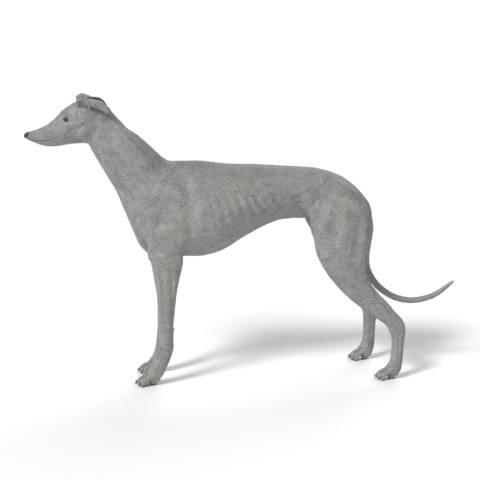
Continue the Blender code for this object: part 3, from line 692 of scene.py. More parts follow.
@dataclass(frozen=True)
class EyeFinish:
    """The wet eyeball: pupil, brown iris with its fibres, dark rim and white."""

    pupil: Colour = Colour(0.0025, 0.0025, 0.0030)
    inner: Colour = Colour(0.052, 0.024, 0.009)
    outer: Colour = Colour(0.020, 0.010, 0.005)
    rim: Colour = Colour(0.006, 0.005, 0.005)
    white: Colour = Colour(0.34, 0.30, 0.27)

    def material(self, name: str) -> bpy.types.Material:
        """Makes the material, which reads the attribute gaze, 0 at the pupil and 1 at the white.

        Args:
            name: Its name.

        Returns:
            The material.
        """
        made, paint, shader = principled(name, Roughness=0.30, Coat_Weight=1.0, Coat_Roughness=0.02)
        shader.inputs["Specular IOR Level"].default_value = 0.0
        gaze = paint.mark("gaze")
        around = node_at(paint.tree, "ShaderNodeUVMap", uv_map="turn").outputs["UV"]
        fibres = paint.noise(paint.stretched(around, (60.0, 3.0, 1.0)), 1.0, 3.0, 0.65)
        iris = paint.mix(paint.ramp(gaze, 0.40, 0.90), self.inner.rgba(), self.outer.rgba())
        iris = paint.mix(paint.ramp(fibres, 0.38, 0.68, 0.55, 0.0), iris, self.rim.rgba())
        colour = paint.mix(paint.ramp(gaze, 0.36, 0.42), self.pupil.rgba(), iris)
        colour = paint.mix(paint.ramp(gaze, 0.84, 0.95), colour, self.rim.rgba())
        colour = paint.mix(paint.ramp(gaze, 1.02, 1.14), colour, self.white.rgba())
        paint.join(colour, shader.inputs["Base Color"])
        return made


@dataclass(frozen=True)
class HairFinish:
    """Single stiff hairs: whiskers and lashes, darker towards the root."""

    root: Colour = Colour(0.060, 0.060, 0.062)
    tip: Colour = Colour(0.260, 0.256, 0.248)

    def material(self, name: str) -> bpy.types.Material:
        """Makes the material, which reads the attribute worn, 0 at the root and 1 at the tip.

        Args:
            name: Its name.

        Returns:
            The material.
        """
        made, paint, shader = principled(name, Roughness=0.42)
        place = paint.place()
        flecks = grain(paint, place, 500.0, 0.3, 0.8)
        share = paint.maths("MULTIPLY", paint.mark("worn"), paint.ramp(flecks, 0.0, 1.0, 0.7, 1.0))
        paint.join(paint.mix(share, self.root.rgba(), self.tip.rgba()), shader.inputs["Base Color"])
        return made


# The skin's forms

GROOVES_OF_TRUNK = (
    # in front of the shoulder blade, its spine, and the muscles on both sides of it
    Stroke(((-0.270, 0.712), (-0.338, 0.640), (-0.372, 0.560)), 0.034, -0.0036),
    Stroke(((-0.236, 0.694), (-0.276, 0.640), (-0.318, 0.560)), 0.018, 0.0022),
    Stroke(((-0.304, 0.580), (-0.296, 0.510)), 0.026, 0.0028),
    Stroke(((-0.256, 0.606), (-0.268, 0.556), (-0.294, 0.495)), 0.018, -0.0026),
    Stroke(((-0.244, 0.600), (-0.234, 0.550), (-0.228, 0.490)), 0.042, 0.0042),
    # behind the shoulder and the upper arm
    Stroke(((-0.222, 0.690), (-0.186, 0.615), (-0.182, 0.545), (-0.194, 0.480)), 0.036, -0.0046),
    # point of the shoulder, elbow, and the fold in front of it
    Stroke(((-0.342, 0.528),), 0.020, 0.0040),
    Stroke(((-0.215, 0.428), (-0.220, 0.412)), 0.013, 0.0050),
    Stroke(((-0.304, 0.462), (-0.286, 0.442), (-0.262, 0.432)), 0.012, -0.0028),
    Stroke(((-0.318, 0.446), (-0.308, 0.408)), 0.020, 0.0056),
    # edge of the loin muscle, and the hollow of the flank
    Stroke(((-0.140, 0.655), (0.000, 0.646), (0.120, 0.640), (0.215, 0.622)), 0.020, -0.0034),
    Stroke(((-0.020, 0.672), (0.060, 0.670), (0.160, 0.664)), 0.020, 0.0018),
    Stroke(((0.150, 0.610), (0.168, 0.574), (0.166, 0.552)), 0.036, -0.0066),
    Stroke(((0.105, 0.0), (0.150, 0.0), (0.196, 0.0)), 0.042, 0.0040, Facing.BELOW),
    Stroke(((0.190, 0.516), (0.208, 0.548), (0.222, 0.588)), 0.014, 0.0026),
    # hip bone, rump, and the muscles of the thigh
    Stroke(((0.224, 0.646), (0.236, 0.650)), 0.028, 0.0026),
    Stroke(((0.226, 0.618), (0.285, 0.592), (0.345, 0.548)), 0.030, -0.0030),
    Stroke(((0.366, 0.574), (0.376, 0.566)), 0.026, 0.0024),
    Stroke(((0.272, 0.628), (0.330, 0.594)), 0.028, 0.0028),
    Stroke(((0.258, 0.566), (0.252, 0.470)), 0.034, 0.0034),
    Stroke(((0.206, 0.545), (0.211, 0.505), (0.221, 0.455), (0.240, 0.402)), 0.030, -0.0056),
    Stroke(((0.204, 0.540), (0.213, 0.482), (0.226, 0.430), (0.252, 0.375)), 0.030, -0.0062,
           Facing.INNER),
    Stroke(((0.272, 0.590), (0.268, 0.530), (0.252, 0.465), (0.250, 0.420)), 0.026, -0.0036),
    Stroke(((0.316, 0.565), (0.306, 0.500), (0.292, 0.425)), 0.044, 0.0036),
    Stroke(((0.358, 0.540), (0.346, 0.480), (0.328, 0.420), (0.324, 0.365)), 0.024, -0.0032),
)
RIB_COUNT = 8
RIB_FIRST, RIB_STEP = -0.135, 0.030
RIB_TOP, RIB_FOOT = 0.632, 0.490

GROOVES_OF_LEGS = (
    # knee cap, its ligament, the calf, and the hollow in front of the hamstring
    Stroke(((0.226, 0.410), (0.230, 0.398)), 0.020, 0.0030, limb=Limb.HIND),
    Stroke(((0.345, 0.372), (0.372, 0.325)), 0.020, 0.0034, limb=Limb.HIND),
    Stroke(((0.268, 0.336), (0.306, 0.298), (0.336, 0.270), (0.366, 0.242)), 0.018, -0.0046,
           limb=Limb.HIND),
    Stroke(((0.285, 0.372), (0.330, 0.312), (0.392, 0.252), (0.438, 0.212)), 0.013, -0.0034,
           limb=Limb.HIND),
    Stroke(((0.388, 0.292), (0.424, 0.252), (0.462, 0.212)), 0.0100, -0.0044, limb=Limb.HIND),
    Stroke(((0.388, 0.292), (0.424, 0.252), (0.462, 0.212)), 0.0100, -0.0036, Facing.INNER, Limb.HIND),
    Stroke(((0.352, 0.262), (0.386, 0.262), (0.402, 0.232), (0.434, 0.190)), 0.0032, 0.0013, limb=Limb.HIND),
    # hock and the bones below it
    Stroke(((0.486, 0.188), (0.488, 0.172)), 0.010, 0.0028, limb=Limb.HIND),
    Stroke(((0.448, 0.186),), 0.010, 0.0030, limb=Limb.HIND),
    Stroke(((0.448, 0.186),), 0.010, 0.0026, Facing.INNER, Limb.HIND),
    Stroke(((0.473, 0.165), (0.474, 0.110), (0.472, 0.060)), 0.0060, -0.0026, limb=Limb.HIND),
    Stroke(((0.473, 0.165), (0.474, 0.110), (0.472, 0.060)), 0.0060, -0.0022, Facing.INNER, Limb.HIND),
    Stroke(((0.458, 0.150), (0.456, 0.060)), 0.0042, -0.0013, limb=Limb.HIND),
    # forearm, its vein, and the wrist
    Stroke(((-0.284, 0.400), (-0.272, 0.300), (-0.266, 0.200), (-0.266, 0.135)), 0.0100, -0.0022, limb=Limb.FORE),
    Stroke(((-0.244, 0.395), (-0.243, 0.300), (-0.243, 0.190)), 0.0080, -0.0024, limb=Limb.FORE),
    Stroke(((-0.250, 0.395), (-0.248, 0.300), (-0.247, 0.200)), 0.0080, -0.0020, Facing.INNER, Limb.FORE),
    Stroke(((-0.262, 0.400), (-0.259, 0.300)), 0.0090, 0.0020, limb=Limb.FORE),
    Stroke(((-0.284, 0.350), (-0.280, 0.270), (-0.276, 0.200)), 0.0030, 0.0012, limb=Limb.FORE),
    Stroke(((-0.232, 0.154), (-0.229, 0.136)), 0.0105, 0.0056, limb=Limb.FORE),
    Stroke(((-0.266, 0.142),), 0.0120, 0.0022, limb=Limb.FORE),
    Stroke(((-0.266, 0.142),), 0.0120, 0.0022, Facing.INNER, Limb.FORE),
    Stroke(((-0.272, 0.105), (-0.284, 0.068), (-0.300, 0.046)), 0.0038, -0.0015, limb=Limb.FORE),
    Stroke(((-0.258, 0.100), (-0.268, 0.062), (-0.284, 0.040)), 0.0042, -0.0018, limb=Limb.FORE),
)
GROOVES_OF_NECK = (
    Stroke(((-0.478, 0.762), (-0.425, 0.672), (-0.378, 0.588)), 0.014, -0.0048),
    Stroke(((-0.455, 0.800), (-0.402, 0.712), (-0.350, 0.622)), 0.020, 0.0030),
    Stroke(((-0.430, 0.846), (-0.362, 0.765), (-0.290, 0.700)), 0.016, -0.0036),
    Stroke(((-0.448, 0.850),), 0.018, 0.0036),
    Stroke(((-0.486, 0.772), (-0.470, 0.796), (-0.462, 0.826)), 0.0090, -0.0018),
)
GROOVES_OF_HEAD = (
    # cheek, arch below the temple, socket, and the hollow of the temple
    Stroke(((-0.504, 0.812),), 0.024, 0.0028),
    Stroke(((-0.544, 0.829), (-0.520, 0.836), (-0.492, 0.848)), 0.0075, 0.0028),
    Stroke(((-0.546, 0.815), (-0.520, 0.819), (-0.500, 0.830)), 0.0070, -0.0018),
    Stroke(((-0.574, 0.861), (-0.560, 0.867), (-0.542, 0.865)), 0.0060, 0.0026),
    Stroke(((-0.526, 0.866), (-0.512, 0.868)), 0.015, -0.0032),
    Stroke(((-0.574, 0.846), (-0.568, 0.836), (-0.556, 0.832)), 0.0060, -0.0022),
    Stroke(((-0.538, 0.846), (-0.530, 0.850)), 0.0055, -0.0014),
    # muzzle: bone below the eye, hollow in front of it, and the edge of the nasal bone
    Stroke(((-0.572, 0.828), (-0.600, 0.815), (-0.628, 0.806)), 0.0065, 0.0016),
    Stroke(((-0.586, 0.832), (-0.606, 0.822)), 0.0080, -0.0020),
    Stroke(((-0.580, 0.850), (-0.615, 0.829), (-0.652, 0.813)), 0.0045, -0.0014),
    # vein on the cheek, edge of the jaw, and the folds behind the corner of the mouth
    Stroke(((-0.578, 0.818), (-0.556, 0.802), (-0.528, 0.778)), 0.0024, 0.0010),
    Stroke(((-0.570, 0.786), (-0.532, 0.781), (-0.500, 0.786)), 0.0060, -0.0018),
    Stroke(((-0.574, 0.803), (-0.566, 0.793), (-0.567, 0.783)), 0.0040, -0.0008),
    # the swell of the whisker bed
    Stroke(((-0.662, 0.795), (-0.640, 0.796), (-0.620, 0.801)), 0.0070, 0.0010),
)
SPINE_GROOVES = (
    Stroke(((-0.448, 0.0), (-0.410, 0.0), (-0.366, 0.0)), 0.030, 0.0040, Facing.ABOVE),
    Stroke(((-0.595, 0.0), (-0.560, 0.0), (-0.525, 0.0)), 0.0090, -0.0020, Facing.ABOVE),
    Stroke(((0.020, 0.0), (0.120, 0.0), (0.200, 0.0)), 0.012, -0.0022, Facing.ABOVE),
    Stroke(((0.235, 0.0), (0.330, 0.0)), 0.010, 0.0014, Facing.ABOVE),
)
VERTEBRA_FIRST, VERTEBRA_STEP, VERTEBRA_COUNT = -0.060, 0.0300, 11
MOUTH = ((-0.6885, 0.7845), (-0.672, 0.7850), (-0.655, 0.7820), (-0.630, 0.7815), (-0.603, 0.7865),
         (-0.580, 0.7965))


@dataclass(frozen=True)
class Carver:
    """Presses strokes into a mesh, on both sides of the animal."""

    step: float = 0.0030

    def laid(self, tree: BVHTree, stroke: Stroke, side: Side) -> tuple[np.ndarray, Vector]:
        """Lays a stroke's line on the surface.

        Args:
            tree: The surface, for finding it by rays.
            stroke: The stroke.
            side: The side of the animal.

        Returns:
            The line's points on the surface, and the way its rays ran.
        """
        on_leg = stroke.limb is not Limb.NONE
        s = side.value
        found = []
        way = Vector((0, -s, 0))
        for a, b in curve_through(stroke.line, self.step):
            height = b if stroke.facing in (Facing.SIDE, Facing.INNER) else 0.0
            moved = leg_offset(stroke.limb, side, height)
            if stroke.facing is Facing.SIDE:
                start, way = Vector((a + moved, s * 0.30, b)), Vector((0, -s, 0))
            elif stroke.facing is Facing.INNER:
                start, way = Vector((a + moved, 0.0, b)), Vector((0, s, 0))
            elif stroke.facing is Facing.ABOVE:
                start, way = Vector((a + moved, s * b, 0.09 if on_leg else 1.2)), Vector((0, 0, -1))
            elif stroke.facing is Facing.BELOW:
                start, way = Vector((a + moved, s * b, -0.2)), Vector((0, 0, 1))
            elif stroke.facing is Facing.FRONT:
                start, way = Vector((-1.0, s * a, b)), Vector((1, 0, 0))
            else:
                start, way = Vector((1.0, s * a, b)), Vector((-1, 0, 0))
            hit = tree.ray_cast(start, way)[0]
            if hit is not None:
                found.append(hit)
        return np.array(found).reshape(-1, 3), way

    @staticmethod
    def press(points: np.ndarray, normals: np.ndarray, line: np.ndarray, way: Vector, stroke: Stroke) -> None:
        """Moves the surface along a line that was laid on it.

        Args:
            points: All the surface's places, which are changed.
            normals: Their normals.
            line: The line on the surface.
            way: The way that its rays ran.
            stroke: Its width and rise.
        """
        if not len(line):
            return
        width = stroke.width
        inside = np.nonzero(np.all((points > line.min(0) - width) & (points < line.max(0) + width), axis=1))[0]
        away = normals[inside] @ np.array(way)
        inside, away = inside[away < 0.35], away[away < 0.35]
        here = points[inside]
        far, share_at = np.full(len(here), np.inf), np.zeros(len(here))
        last = max(len(line) - 1, 1)
        for index in range(last):
            start = line[index]
            along = line[min(index + 1, len(line) - 1)] - start
            share = np.clip((here - start) @ along / max(along @ along, 1e-12), 0.0, 1.0)
            gap = np.linalg.norm(here - start - share[:, None] * along, axis=1)
            closer = gap < far
            far[closer] = gap[closer]
            share_at[closer] = (index + share[closer]) / last
        amount = np.clip(1.0 - (far / width) ** 2, 0.0, 1.0) ** stroke.steep
        amount *= np.clip((0.35 - away) / 0.50, 0.0, 1.0)
        if len(stroke.line) > 1:
            fade = np.clip(np.minimum(share_at, 1.0 - share_at) / 0.28, 0.0, 1.0)
            amount *= 0.08 + 0.92 * fade * fade * (3.0 - 2.0 * fade)
        points[inside] += normals[inside] * (stroke.rise * amount)[:, None]

    def carve(self, mesh: bpy.types.Mesh, strokes: Iterable[Stroke]) -> None:
        """Carves strokes into a mesh, all on its shape as it is now.

        Args:
            mesh: The mesh.
            strokes: The strokes.
        """
        points, normals = places(mesh), outward(mesh)
        tree = BVHTree.FromPolygons(points.tolist(), triangles(mesh).tolist())
        for stroke in strokes:
            middle = stroke.facing not in (Facing.SIDE, Facing.INNER) and not any(
                (b if stroke.facing in (Facing.ABOVE, Facing.BELOW) else a) for a, b in stroke.line)
            for side in (Side.LEFT,) if middle else Side:
                line, way = self.laid(tree, stroke, side)
                self.press(points, normals, line, way, stroke)
        move_to(mesh, points)


def nose_border(height: np.ndarray) -> np.ndarray:
    """How far back the nose leather reaches at each height.

    Args:
        height: The heights.

    Returns:
        The X of its border at each.
    """
    return -0.6672 - 0.0095 * np.clip((0.8070 - height) / 0.0170, 0.0, 1.0) ** 1.4


@dataclass
class Skin:
    """The one skin over all the flesh, with its folds, bones, veins and lids, and how hair grows on it."""

    voxel: float = 0.0017
    swell: float = 0.0004
    body_depth: float = 0.0014
    face_depth: float = 0.0006
    ear_depth: float = 0.0002
    ear_voxel: float = 0.0008
    ear_root: float = 0.0030
    most_triangles: int = 195_000
    mesh: bpy.types.Mesh | None = None
    obj: bpy.types.Object | None = None
    bones: list[Bone] = field(default_factory=list)

    def build(self) -> None:
        """Makes the skin from the solids, carves it and marks what its finish and its hair read."""
        self.bones = list(MIDDLE_BONES) + limb_bones(Side.LEFT) + limb_bones(Side.RIGHT)
        self.close_up()
        self.even_out()
        self.refine()
        self.add_ears()
        self.carve()
        self.sink()
        self.thin_out()
        self.mark()
        self.map_lie()

    def close_up(self) -> None:
        """Joins copies of the solids into one closed surface without their parting gaps."""
        whole = bmesh.new()
        for name in FLESH + ("nose",):
            piece = bmesh.new()
            piece.from_mesh(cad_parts[name].data)
            bmesh.ops.remove_doubles(piece, verts=piece.verts, dist=1e-6)
            bmesh.ops.recalc_face_normals(piece, faces=piece.faces)
            piece.normal_update()
            for vert in piece.verts:
                vert.co += vert.normal * self.swell
            helper = bpy.data.meshes.new("helper")
            piece.to_mesh(helper)
            piece.free()
            whole.from_mesh(helper)
            bpy.data.meshes.remove(helper)
        mesh = bpy.data.meshes.new("skin")
        whole.to_mesh(mesh)
        whole.free()
        self.obj = linked("skin", mesh)
        remesh = self.obj.modifiers.new("close", "REMESH")
        remesh.mode = "VOXEL"
        remesh.voxel_size = self.voxel * 1.0
        remesh.adaptivity = 0.0
        self.mesh = applied(self.obj)
        self.keep_largest()
        LOG.info("skin closed: %d vertices", len(self.mesh.vertices))

    def keep_largest(self) -> None:
        """Drops every loose scrap but the largest closed surface."""
        count = len(self.mesh.vertices)
        edges = edge_pairs(self.mesh)
        label = np.arange(count)
        while True:
            least = np.minimum(label[edges[:, 0]], label[edges[:, 1]])
            fresh = label.copy()
            np.minimum.at(fresh, edges[:, 0], least)
            np.minimum.at(fresh, edges[:, 1], least)
            fresh = fresh[fresh]
            fresh = fresh[fresh]
            if np.array_equal(fresh, label):
                break
            label = fresh
        main = np.bincount(label).argmax()
        loose = np.nonzero(label != main)[0]
        if len(loose):
            shape = bmesh.new()
            shape.from_mesh(self.mesh)
            shape.verts.ensure_lookup_table()
            bmesh.ops.delete(shape, geom=[shape.verts[index] for index in loose], context="VERTS")
            shape.to_mesh(self.mesh)
            shape.free()

    @staticmethod
    def near(points: np.ndarray, bones: Iterable[Bone]) -> tuple[np.ndarray, np.ndarray]:
        """The nearest stretch of each place, by distance in its own reaches.

        Args:
            points: The places.
            bones: The stretches to choose from.

        Returns:
            The number of each place's stretch, and its distance in reaches.
        """
        best = np.full(len(points), np.inf)
        which = np.zeros(len(points), int)
        for index, bone in enumerate(bones):
            start, line = np.array(bone.start), np.array(bone.end) - np.array(bone.start)
            share = np.clip((points - start) @ line / (line @ line), 0.0, 1.0)
            far = np.linalg.norm(points - start - share[:, None] * line, axis=1) / bone.reach
            closer = far < best
            best[closer], which[closer] = far[closer], index
        return which, best

    def fineness(self, points: np.ndarray) -> np.ndarray:
        """How fine the forms are at each place, from 0 on the trunk to 1 on face, ears and paws."""
        face = np.clip((-0.470 - points[:, 0]) / 0.030, 0.0, 1.0)
        paw = np.clip((0.085 - points[:, 2]) / 0.030, 0.0, 1.0)
        ears = np.clip((points[:, 2] - 0.870) / 0.010, 0.0, 1.0)
        tail = np.clip((points[:, 0] - 0.470) / 0.030, 0.0, 1.0) * (points[:, 2] > 0.2)
        legs = 0.45 * np.clip((0.420 - points[:, 2]) / 0.080, 0.0, 1.0)
        return np.maximum.reduce([face, paw, ears, 0.7 * tail, legs])

    def even_out(self) -> None:
        """Smooths away the solids' facets, less where the forms are fine."""
        points, edges = places(self.mesh), edge_pairs(self.mesh)
        fine = self.fineness(points)
        points = relaxed(points, edges, 26, np.clip(1.0 - 1.15 * fine, 0.0, 1.0))
        paws = points[:, 2] < 0.060
        points = relaxed(points, edges, 7, np.clip(1.0 - 0.45 * fine - 0.35 * paws, 0.0, 1.0))
        move_to(self.mesh, points)

    def refine(self) -> None:
        """Splits the faces of the face, the ears and the paws once more."""
        shape = bmesh.new()
        shape.from_mesh(self.mesh)
        chosen = [face for face in shape.faces if self.is_delicate(face.calc_center_median())]
        edges = {edge for face in chosen for edge in face.edges}
        bmesh.ops.subdivide_edges(shape, edges=list(edges), cuts=1, use_grid_fill=True)
        bmesh.ops.triangulate(shape, faces=[face for face in shape.faces if len(face.verts) > 4])
        shape.to_mesh(self.mesh)
        shape.free()
        points, pairs = places(self.mesh), edge_pairs(self.mesh)
        soft = (self.fineness(points) > 0.5) * np.where(points[:, 2] < 0.060, 0.5, 0.9)
        points = relaxed(points, pairs, 4, soft)
        move_to(self.mesh, points)
        LOG.info("skin refined: %d vertices", len(self.mesh.vertices))

    def add_ears(self) -> None:
        """Grows the thin ears from their solids, with finer faces, and fuses them with the head."""
        head = BVHTree.FromPolygons(places(self.mesh).tolist(), triangles(self.mesh).tolist())
        for name in EARS:
            ear = linked(f"{name}_helper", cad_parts[name].data.copy())
            close = ear.modifiers.new("close", "REMESH")
            close.mode = "VOXEL"
            close.voxel_size = self.ear_voxel
            mesh = applied(ear)
            points = relaxed(places(mesh), edge_pairs(mesh), 10, 1.0)
            for index in np.nonzero((points[:, 2] < 0.900) & (points[:, 0] < -0.460))[0]:
                hit, normal, _, gap = head.find_nearest(Vector(points[index]))
                share = min(max((0.0020 - gap) / 0.0008, 0.0), 1.0)
                points[index] -= np.array(normal) * self.ear_root * share
            move_to(mesh, points)
            fuse = self.obj.modifiers.new("fuse", "BOOLEAN")
            fuse.operation, fuse.solver, fuse.object = "UNION", "MANIFOLD", ear
            self.mesh = applied(self.obj)
            drop(ear)
        shape = bmesh.new()
        shape.from_mesh(self.mesh)
        bmesh.ops.triangulate(shape, faces=[face for face in shape.faces if len(face.verts) > 4])
        shape.to_mesh(self.mesh)
        shape.free()
        points = places(self.mesh)
        joint = self.ear_share(points) * (1.0 - self.ear_share(points)) * 4.0
        move_to(self.mesh, relaxed(points, edge_pairs(self.mesh), 12, 0.9 * np.clip(joint, 0.0, 1.0)))
        LOG.info("ears fused: %d vertices", len(self.mesh.vertices))

    @staticmethod
    def ear_share(points: np.ndarray) -> np.ndarray:
        """How far each place stands out on an ear, from 0 on the head to 1 well up the ear."""
        base = [BVHTree.FromPolygons(places(mesh).tolist(), triangles(mesh).tolist())
                for mesh in (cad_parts[name].data for name in ("head", "neck"))]
        share = np.zeros(len(points))
        low, high = np.array(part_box(EARS[0])[0]), np.array(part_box(EARS[1])[1])
        for index in np.nonzero(np.all((points > low - 0.006) & (points < high + 0.006), axis=1))[0]:
            clear = min(tree.find_nearest(Vector(points[index]))[3] for tree in base)
            share[index] = min(max((clear - 0.0006) / 0.0034, 0.0), 1.0)
        return share

    @staticmethod
    def is_delicate(place: Vector) -> bool:
        """Whether the forms at this place need the finest faces."""
        face = place.x < -0.480 and place.z > 0.74
        return face or place.z < 0.060 or place.z > 0.885

    def carve(self) -> None:
        """Carves muscles, bones, veins and folds on both sides, each group on what the last one left."""
        carver = Carver()
        edges = edge_pairs(self.mesh)
        for strokes in (self.broad_forms(), self.fine_forms(), self.mouth_forms(), self.eye_forms()):
            carver.carve(self.mesh, strokes)
            points = places(self.mesh)
            move_to(self.mesh, relaxed(points, edges, 2, 0.8 * (points[:, 2] < 0.050)))

    def broad_forms(self) -> Iterator[Stroke]:
        """The muscles of the trunk and the neck, and the legs' larger ones."""
        yield from GROOVES_OF_TRUNK + GROOVES_OF_NECK + SPINE_GROOVES + GROOVES_OF_LEGS
        for index in range(RIB_COUNT):
            x = RIB_FIRST + RIB_STEP * index
            rise = 0.014 * index
            yield Stroke(((x, RIB_TOP - rise * 0.3), (x + 0.016, 0.580), (x + 0.038, RIB_FOOT + rise)), 0.0125,
                         -0.0010 - 0.00010 * index)
        yield Stroke(((-0.010, 0.478), (0.040, 0.500), (0.100, 0.548), (0.130, 0.595)), 0.026, -0.0032)

    def fine_forms(self) -> Iterator[Stroke]:
        """The forms of the head, the toes, and the tips of the vertebrae."""
        yield from GROOVES_OF_HEAD
        yield from self.toe_forms(0.0046, -0.0034)
        for index in range(VERTEBRA_COUNT):
            x = VERTEBRA_FIRST + VERTEBRA_STEP * index
            yield Stroke(((x, 0.0),), 0.0095, 0.0008, Facing.ABOVE)

    def toe_forms(self, width: float, rise: float) -> Iterator[Stroke]:
        """The clefts between the toes and the swell of their knuckles.

        Args:
            width: The clefts' half width.
            rise: Their rise, below 0.
        """
        for limb, print_x, stance in ((Limb.FORE, -0.3215, 0.060), (Limb.HIND, 0.4405, 0.102)):
            for between in (-0.0121, 0.0, 0.0121):
                y = stance + between
                yield Stroke(((print_x - 0.030, y), (print_x - 0.016, y), (print_x + 0.014, y)), width, rise,
                             Facing.ABOVE, limb, 1.5)
            for spread, back in ((-0.0180, 0.0105), (-0.0064, 0.0), (0.0064, 0.0), (0.0180, 0.0105)):
                x, y = print_x - 0.0165 + back, stance + spread
                yield Stroke(((x - 0.002, y), (x + 0.003, y)), 0.0062, 0.0008, Facing.ABOVE, limb)

    def mouth_forms(self) -> Iterator[Stroke]:
        """The line of the mouth with the swell of both lips beside it, and the clefts of the toes once more."""
        yield from self.toe_forms(0.0034, -0.0026)
        upper = tuple((x, z + 0.0040) for x, z in MOUTH)
        lower = tuple((x, z - 0.0036) for x, z in MOUTH)
        yield Stroke(upper, 0.0042, 0.0010)
        yield Stroke(lower, 0.0036, 0.0006)
        yield Stroke(MOUTH, 0.0019, -0.0019, steep=1.2)

    def eye_forms(self) -> Iterator[Stroke]:
        """The folds of the lids."""
        yield Stroke(((-0.569, 0.8545), (-0.560, 0.8585), (-0.548, 0.8580), (-0.539, 0.8525)), 0.0024, -0.0012)
        yield Stroke(((-0.567, 0.8400), (-0.556, 0.8370), (-0.545, 0.8390)), 0.0024, -0.0009)

    def sink(self) -> None:
        """Sets the skin inside the solids by the depth of the coat."""
        points, normals = places(self.mesh), outward(self.mesh)
        fine = np.clip(self.fineness(points) / 0.7, 0.0, 1.0)
        depth = self.swell + self.body_depth * (1.0 - fine) + self.face_depth * fine
        ears = self.ear_share(points)
        depth += (self.ear_depth - depth) * ears
        depth[points[:, 2] < 0.0015] *= 0.2
        tail = np.clip((points[:, 0] - 0.370) / 0.020, 0.0, 1.0) * (np.abs(points[:, 1]) < 0.030)
        depth *= 1.0 - 0.85 * tail
        depth += 0.0034 * np.clip((nose_border(points[:, 2]) - 0.0006 - points[:, 0]) / 0.0030, 0.0, 1.0)
        points -= normals * depth[:, None]
        points[:, 2] = np.maximum(points[:, 2], 0.0)
        move_to(self.mesh, points)

    def thin_out(self) -> None:
        """Brings the skin under the most triangles it may have, where its forms are plain."""
        self.mesh.calc_loop_triangles()
        count = len(self.mesh.loop_triangles)
        if count > self.most_triangles:
            thin = self.obj.modifiers.new("thin", "DECIMATE")
            thin.ratio = self.most_triangles / count
            self.mesh = applied(self.obj)
        self.mesh.shade_smooth()
        LOG.info("skin thinned: %d triangles from %d", len(triangles(self.mesh)), count)

    def mark(self) -> None:
        """Paints what the finish reads: shade, bare skin and pads."""
        points, edges = places(self.mesh), edge_pairs(self.mesh)
        x, y, z = points.T
        side = np.abs(y)
        shade = np.zeros(len(points))
        shade += 0.50 * np.clip((-0.640 - x) / 0.030, 0.0, 1.0)
        mouth = np.full(len(points), np.inf)
        for a, b in curve_through(MOUTH, 0.002):
            mouth = np.minimum(mouth, np.hypot(x - a, z - b) + np.where(x > -0.575, 1.0, 0.0))
        shade += 0.9 * np.clip(1.0 - mouth / 0.0028, 0.0, 1.0)
        for s in (-1.0, 1.0):
            eye = np.linalg.norm(points - np.array(EYE_CENTRE) * (1.0, -s, 1.0), axis=1)
            shade += 0.8 * np.clip(1.0 - (eye - 0.0108) / 0.0030, 0.0, 1.0)
        ear = np.clip((z - 0.885) / 0.010, 0.0, 1.0) * np.clip((side - 0.022) / 0.006, 0.0, 1.0)
        shade += 0.12 * ear
        shade += 0.22 * np.clip((z - 0.655) / 0.050, 0.0, 1.0) * (x > -0.30)
        belly = np.clip((0.52 - z) / 0.08, 0.0, 1.0) * (np.abs(x - 0.0) < 0.19) * (z > 0.36)
        inner = np.clip((0.050 - side) / 0.030, 0.0, 1.0) * (z < 0.42) * (z > 0.10)
        shade -= 0.30 * belly + 0.25 * inner
        normals = outward(self.mesh)
        under = np.clip(-normals[:, 2], 0.0, 1.0)
        groin = np.clip(1.0 - np.hypot(x - 0.200, z - 0.515) / 0.070, 0.0, 1.0)
        groin *= np.clip((0.050 - side) / 0.02, 0.0, 1.0)
        pit = np.clip(1.0 - np.hypot(x + 0.225, z - 0.425) / 0.050, 0.0, 1.0) * (side < 0.035)
        bare = np.clip(1.8 * groin * np.clip(under - 0.25, 0.0, 1.0) + pit, 0.0, 1.0)
        pad = np.clip((0.0052 - z) / 0.0016, 0.0, 1.0)
        for name, values in (("shade", shade), ("bare", bare), ("pad", pad)):
            layer = self.mesh.attributes.new(name, "FLOAT", "POINT")
            layer.data.foreach_set("value", blurred(values, edges, 1).astype(np.float32))

    def map_lie(self) -> None:
        """Works out the lie of the hair, a map along it in metres, and the unwrap for the coat's colours."""
        points, normals = places(self.mesh), outward(self.mesh)
        total = np.zeros_like(points)
        for bone in self.bones:
            start, line = np.array(bone.start), np.array(bone.end) - np.array(bone.start)
            share = np.clip((points - start) @ line / (line @ line), 0.0, 1.0)
            far = np.linalg.norm(points - start - share[:, None] * line, axis=1) / bone.reach
            total += (1.0 / np.maximum(far, 0.2) ** 6)[:, None] * line / np.linalg.norm(line)
        total -= (total * normals).sum(1)[:, None] * normals
        total /= np.maximum(np.linalg.norm(total, axis=1), 1e-9)[:, None]
        lie = self.mesh.attributes.new("lie", "FLOAT_VECTOR", "POINT")
        lie.data.foreach_set("vector", total.astype(np.float32).ravel())
        self.unwrap(points)

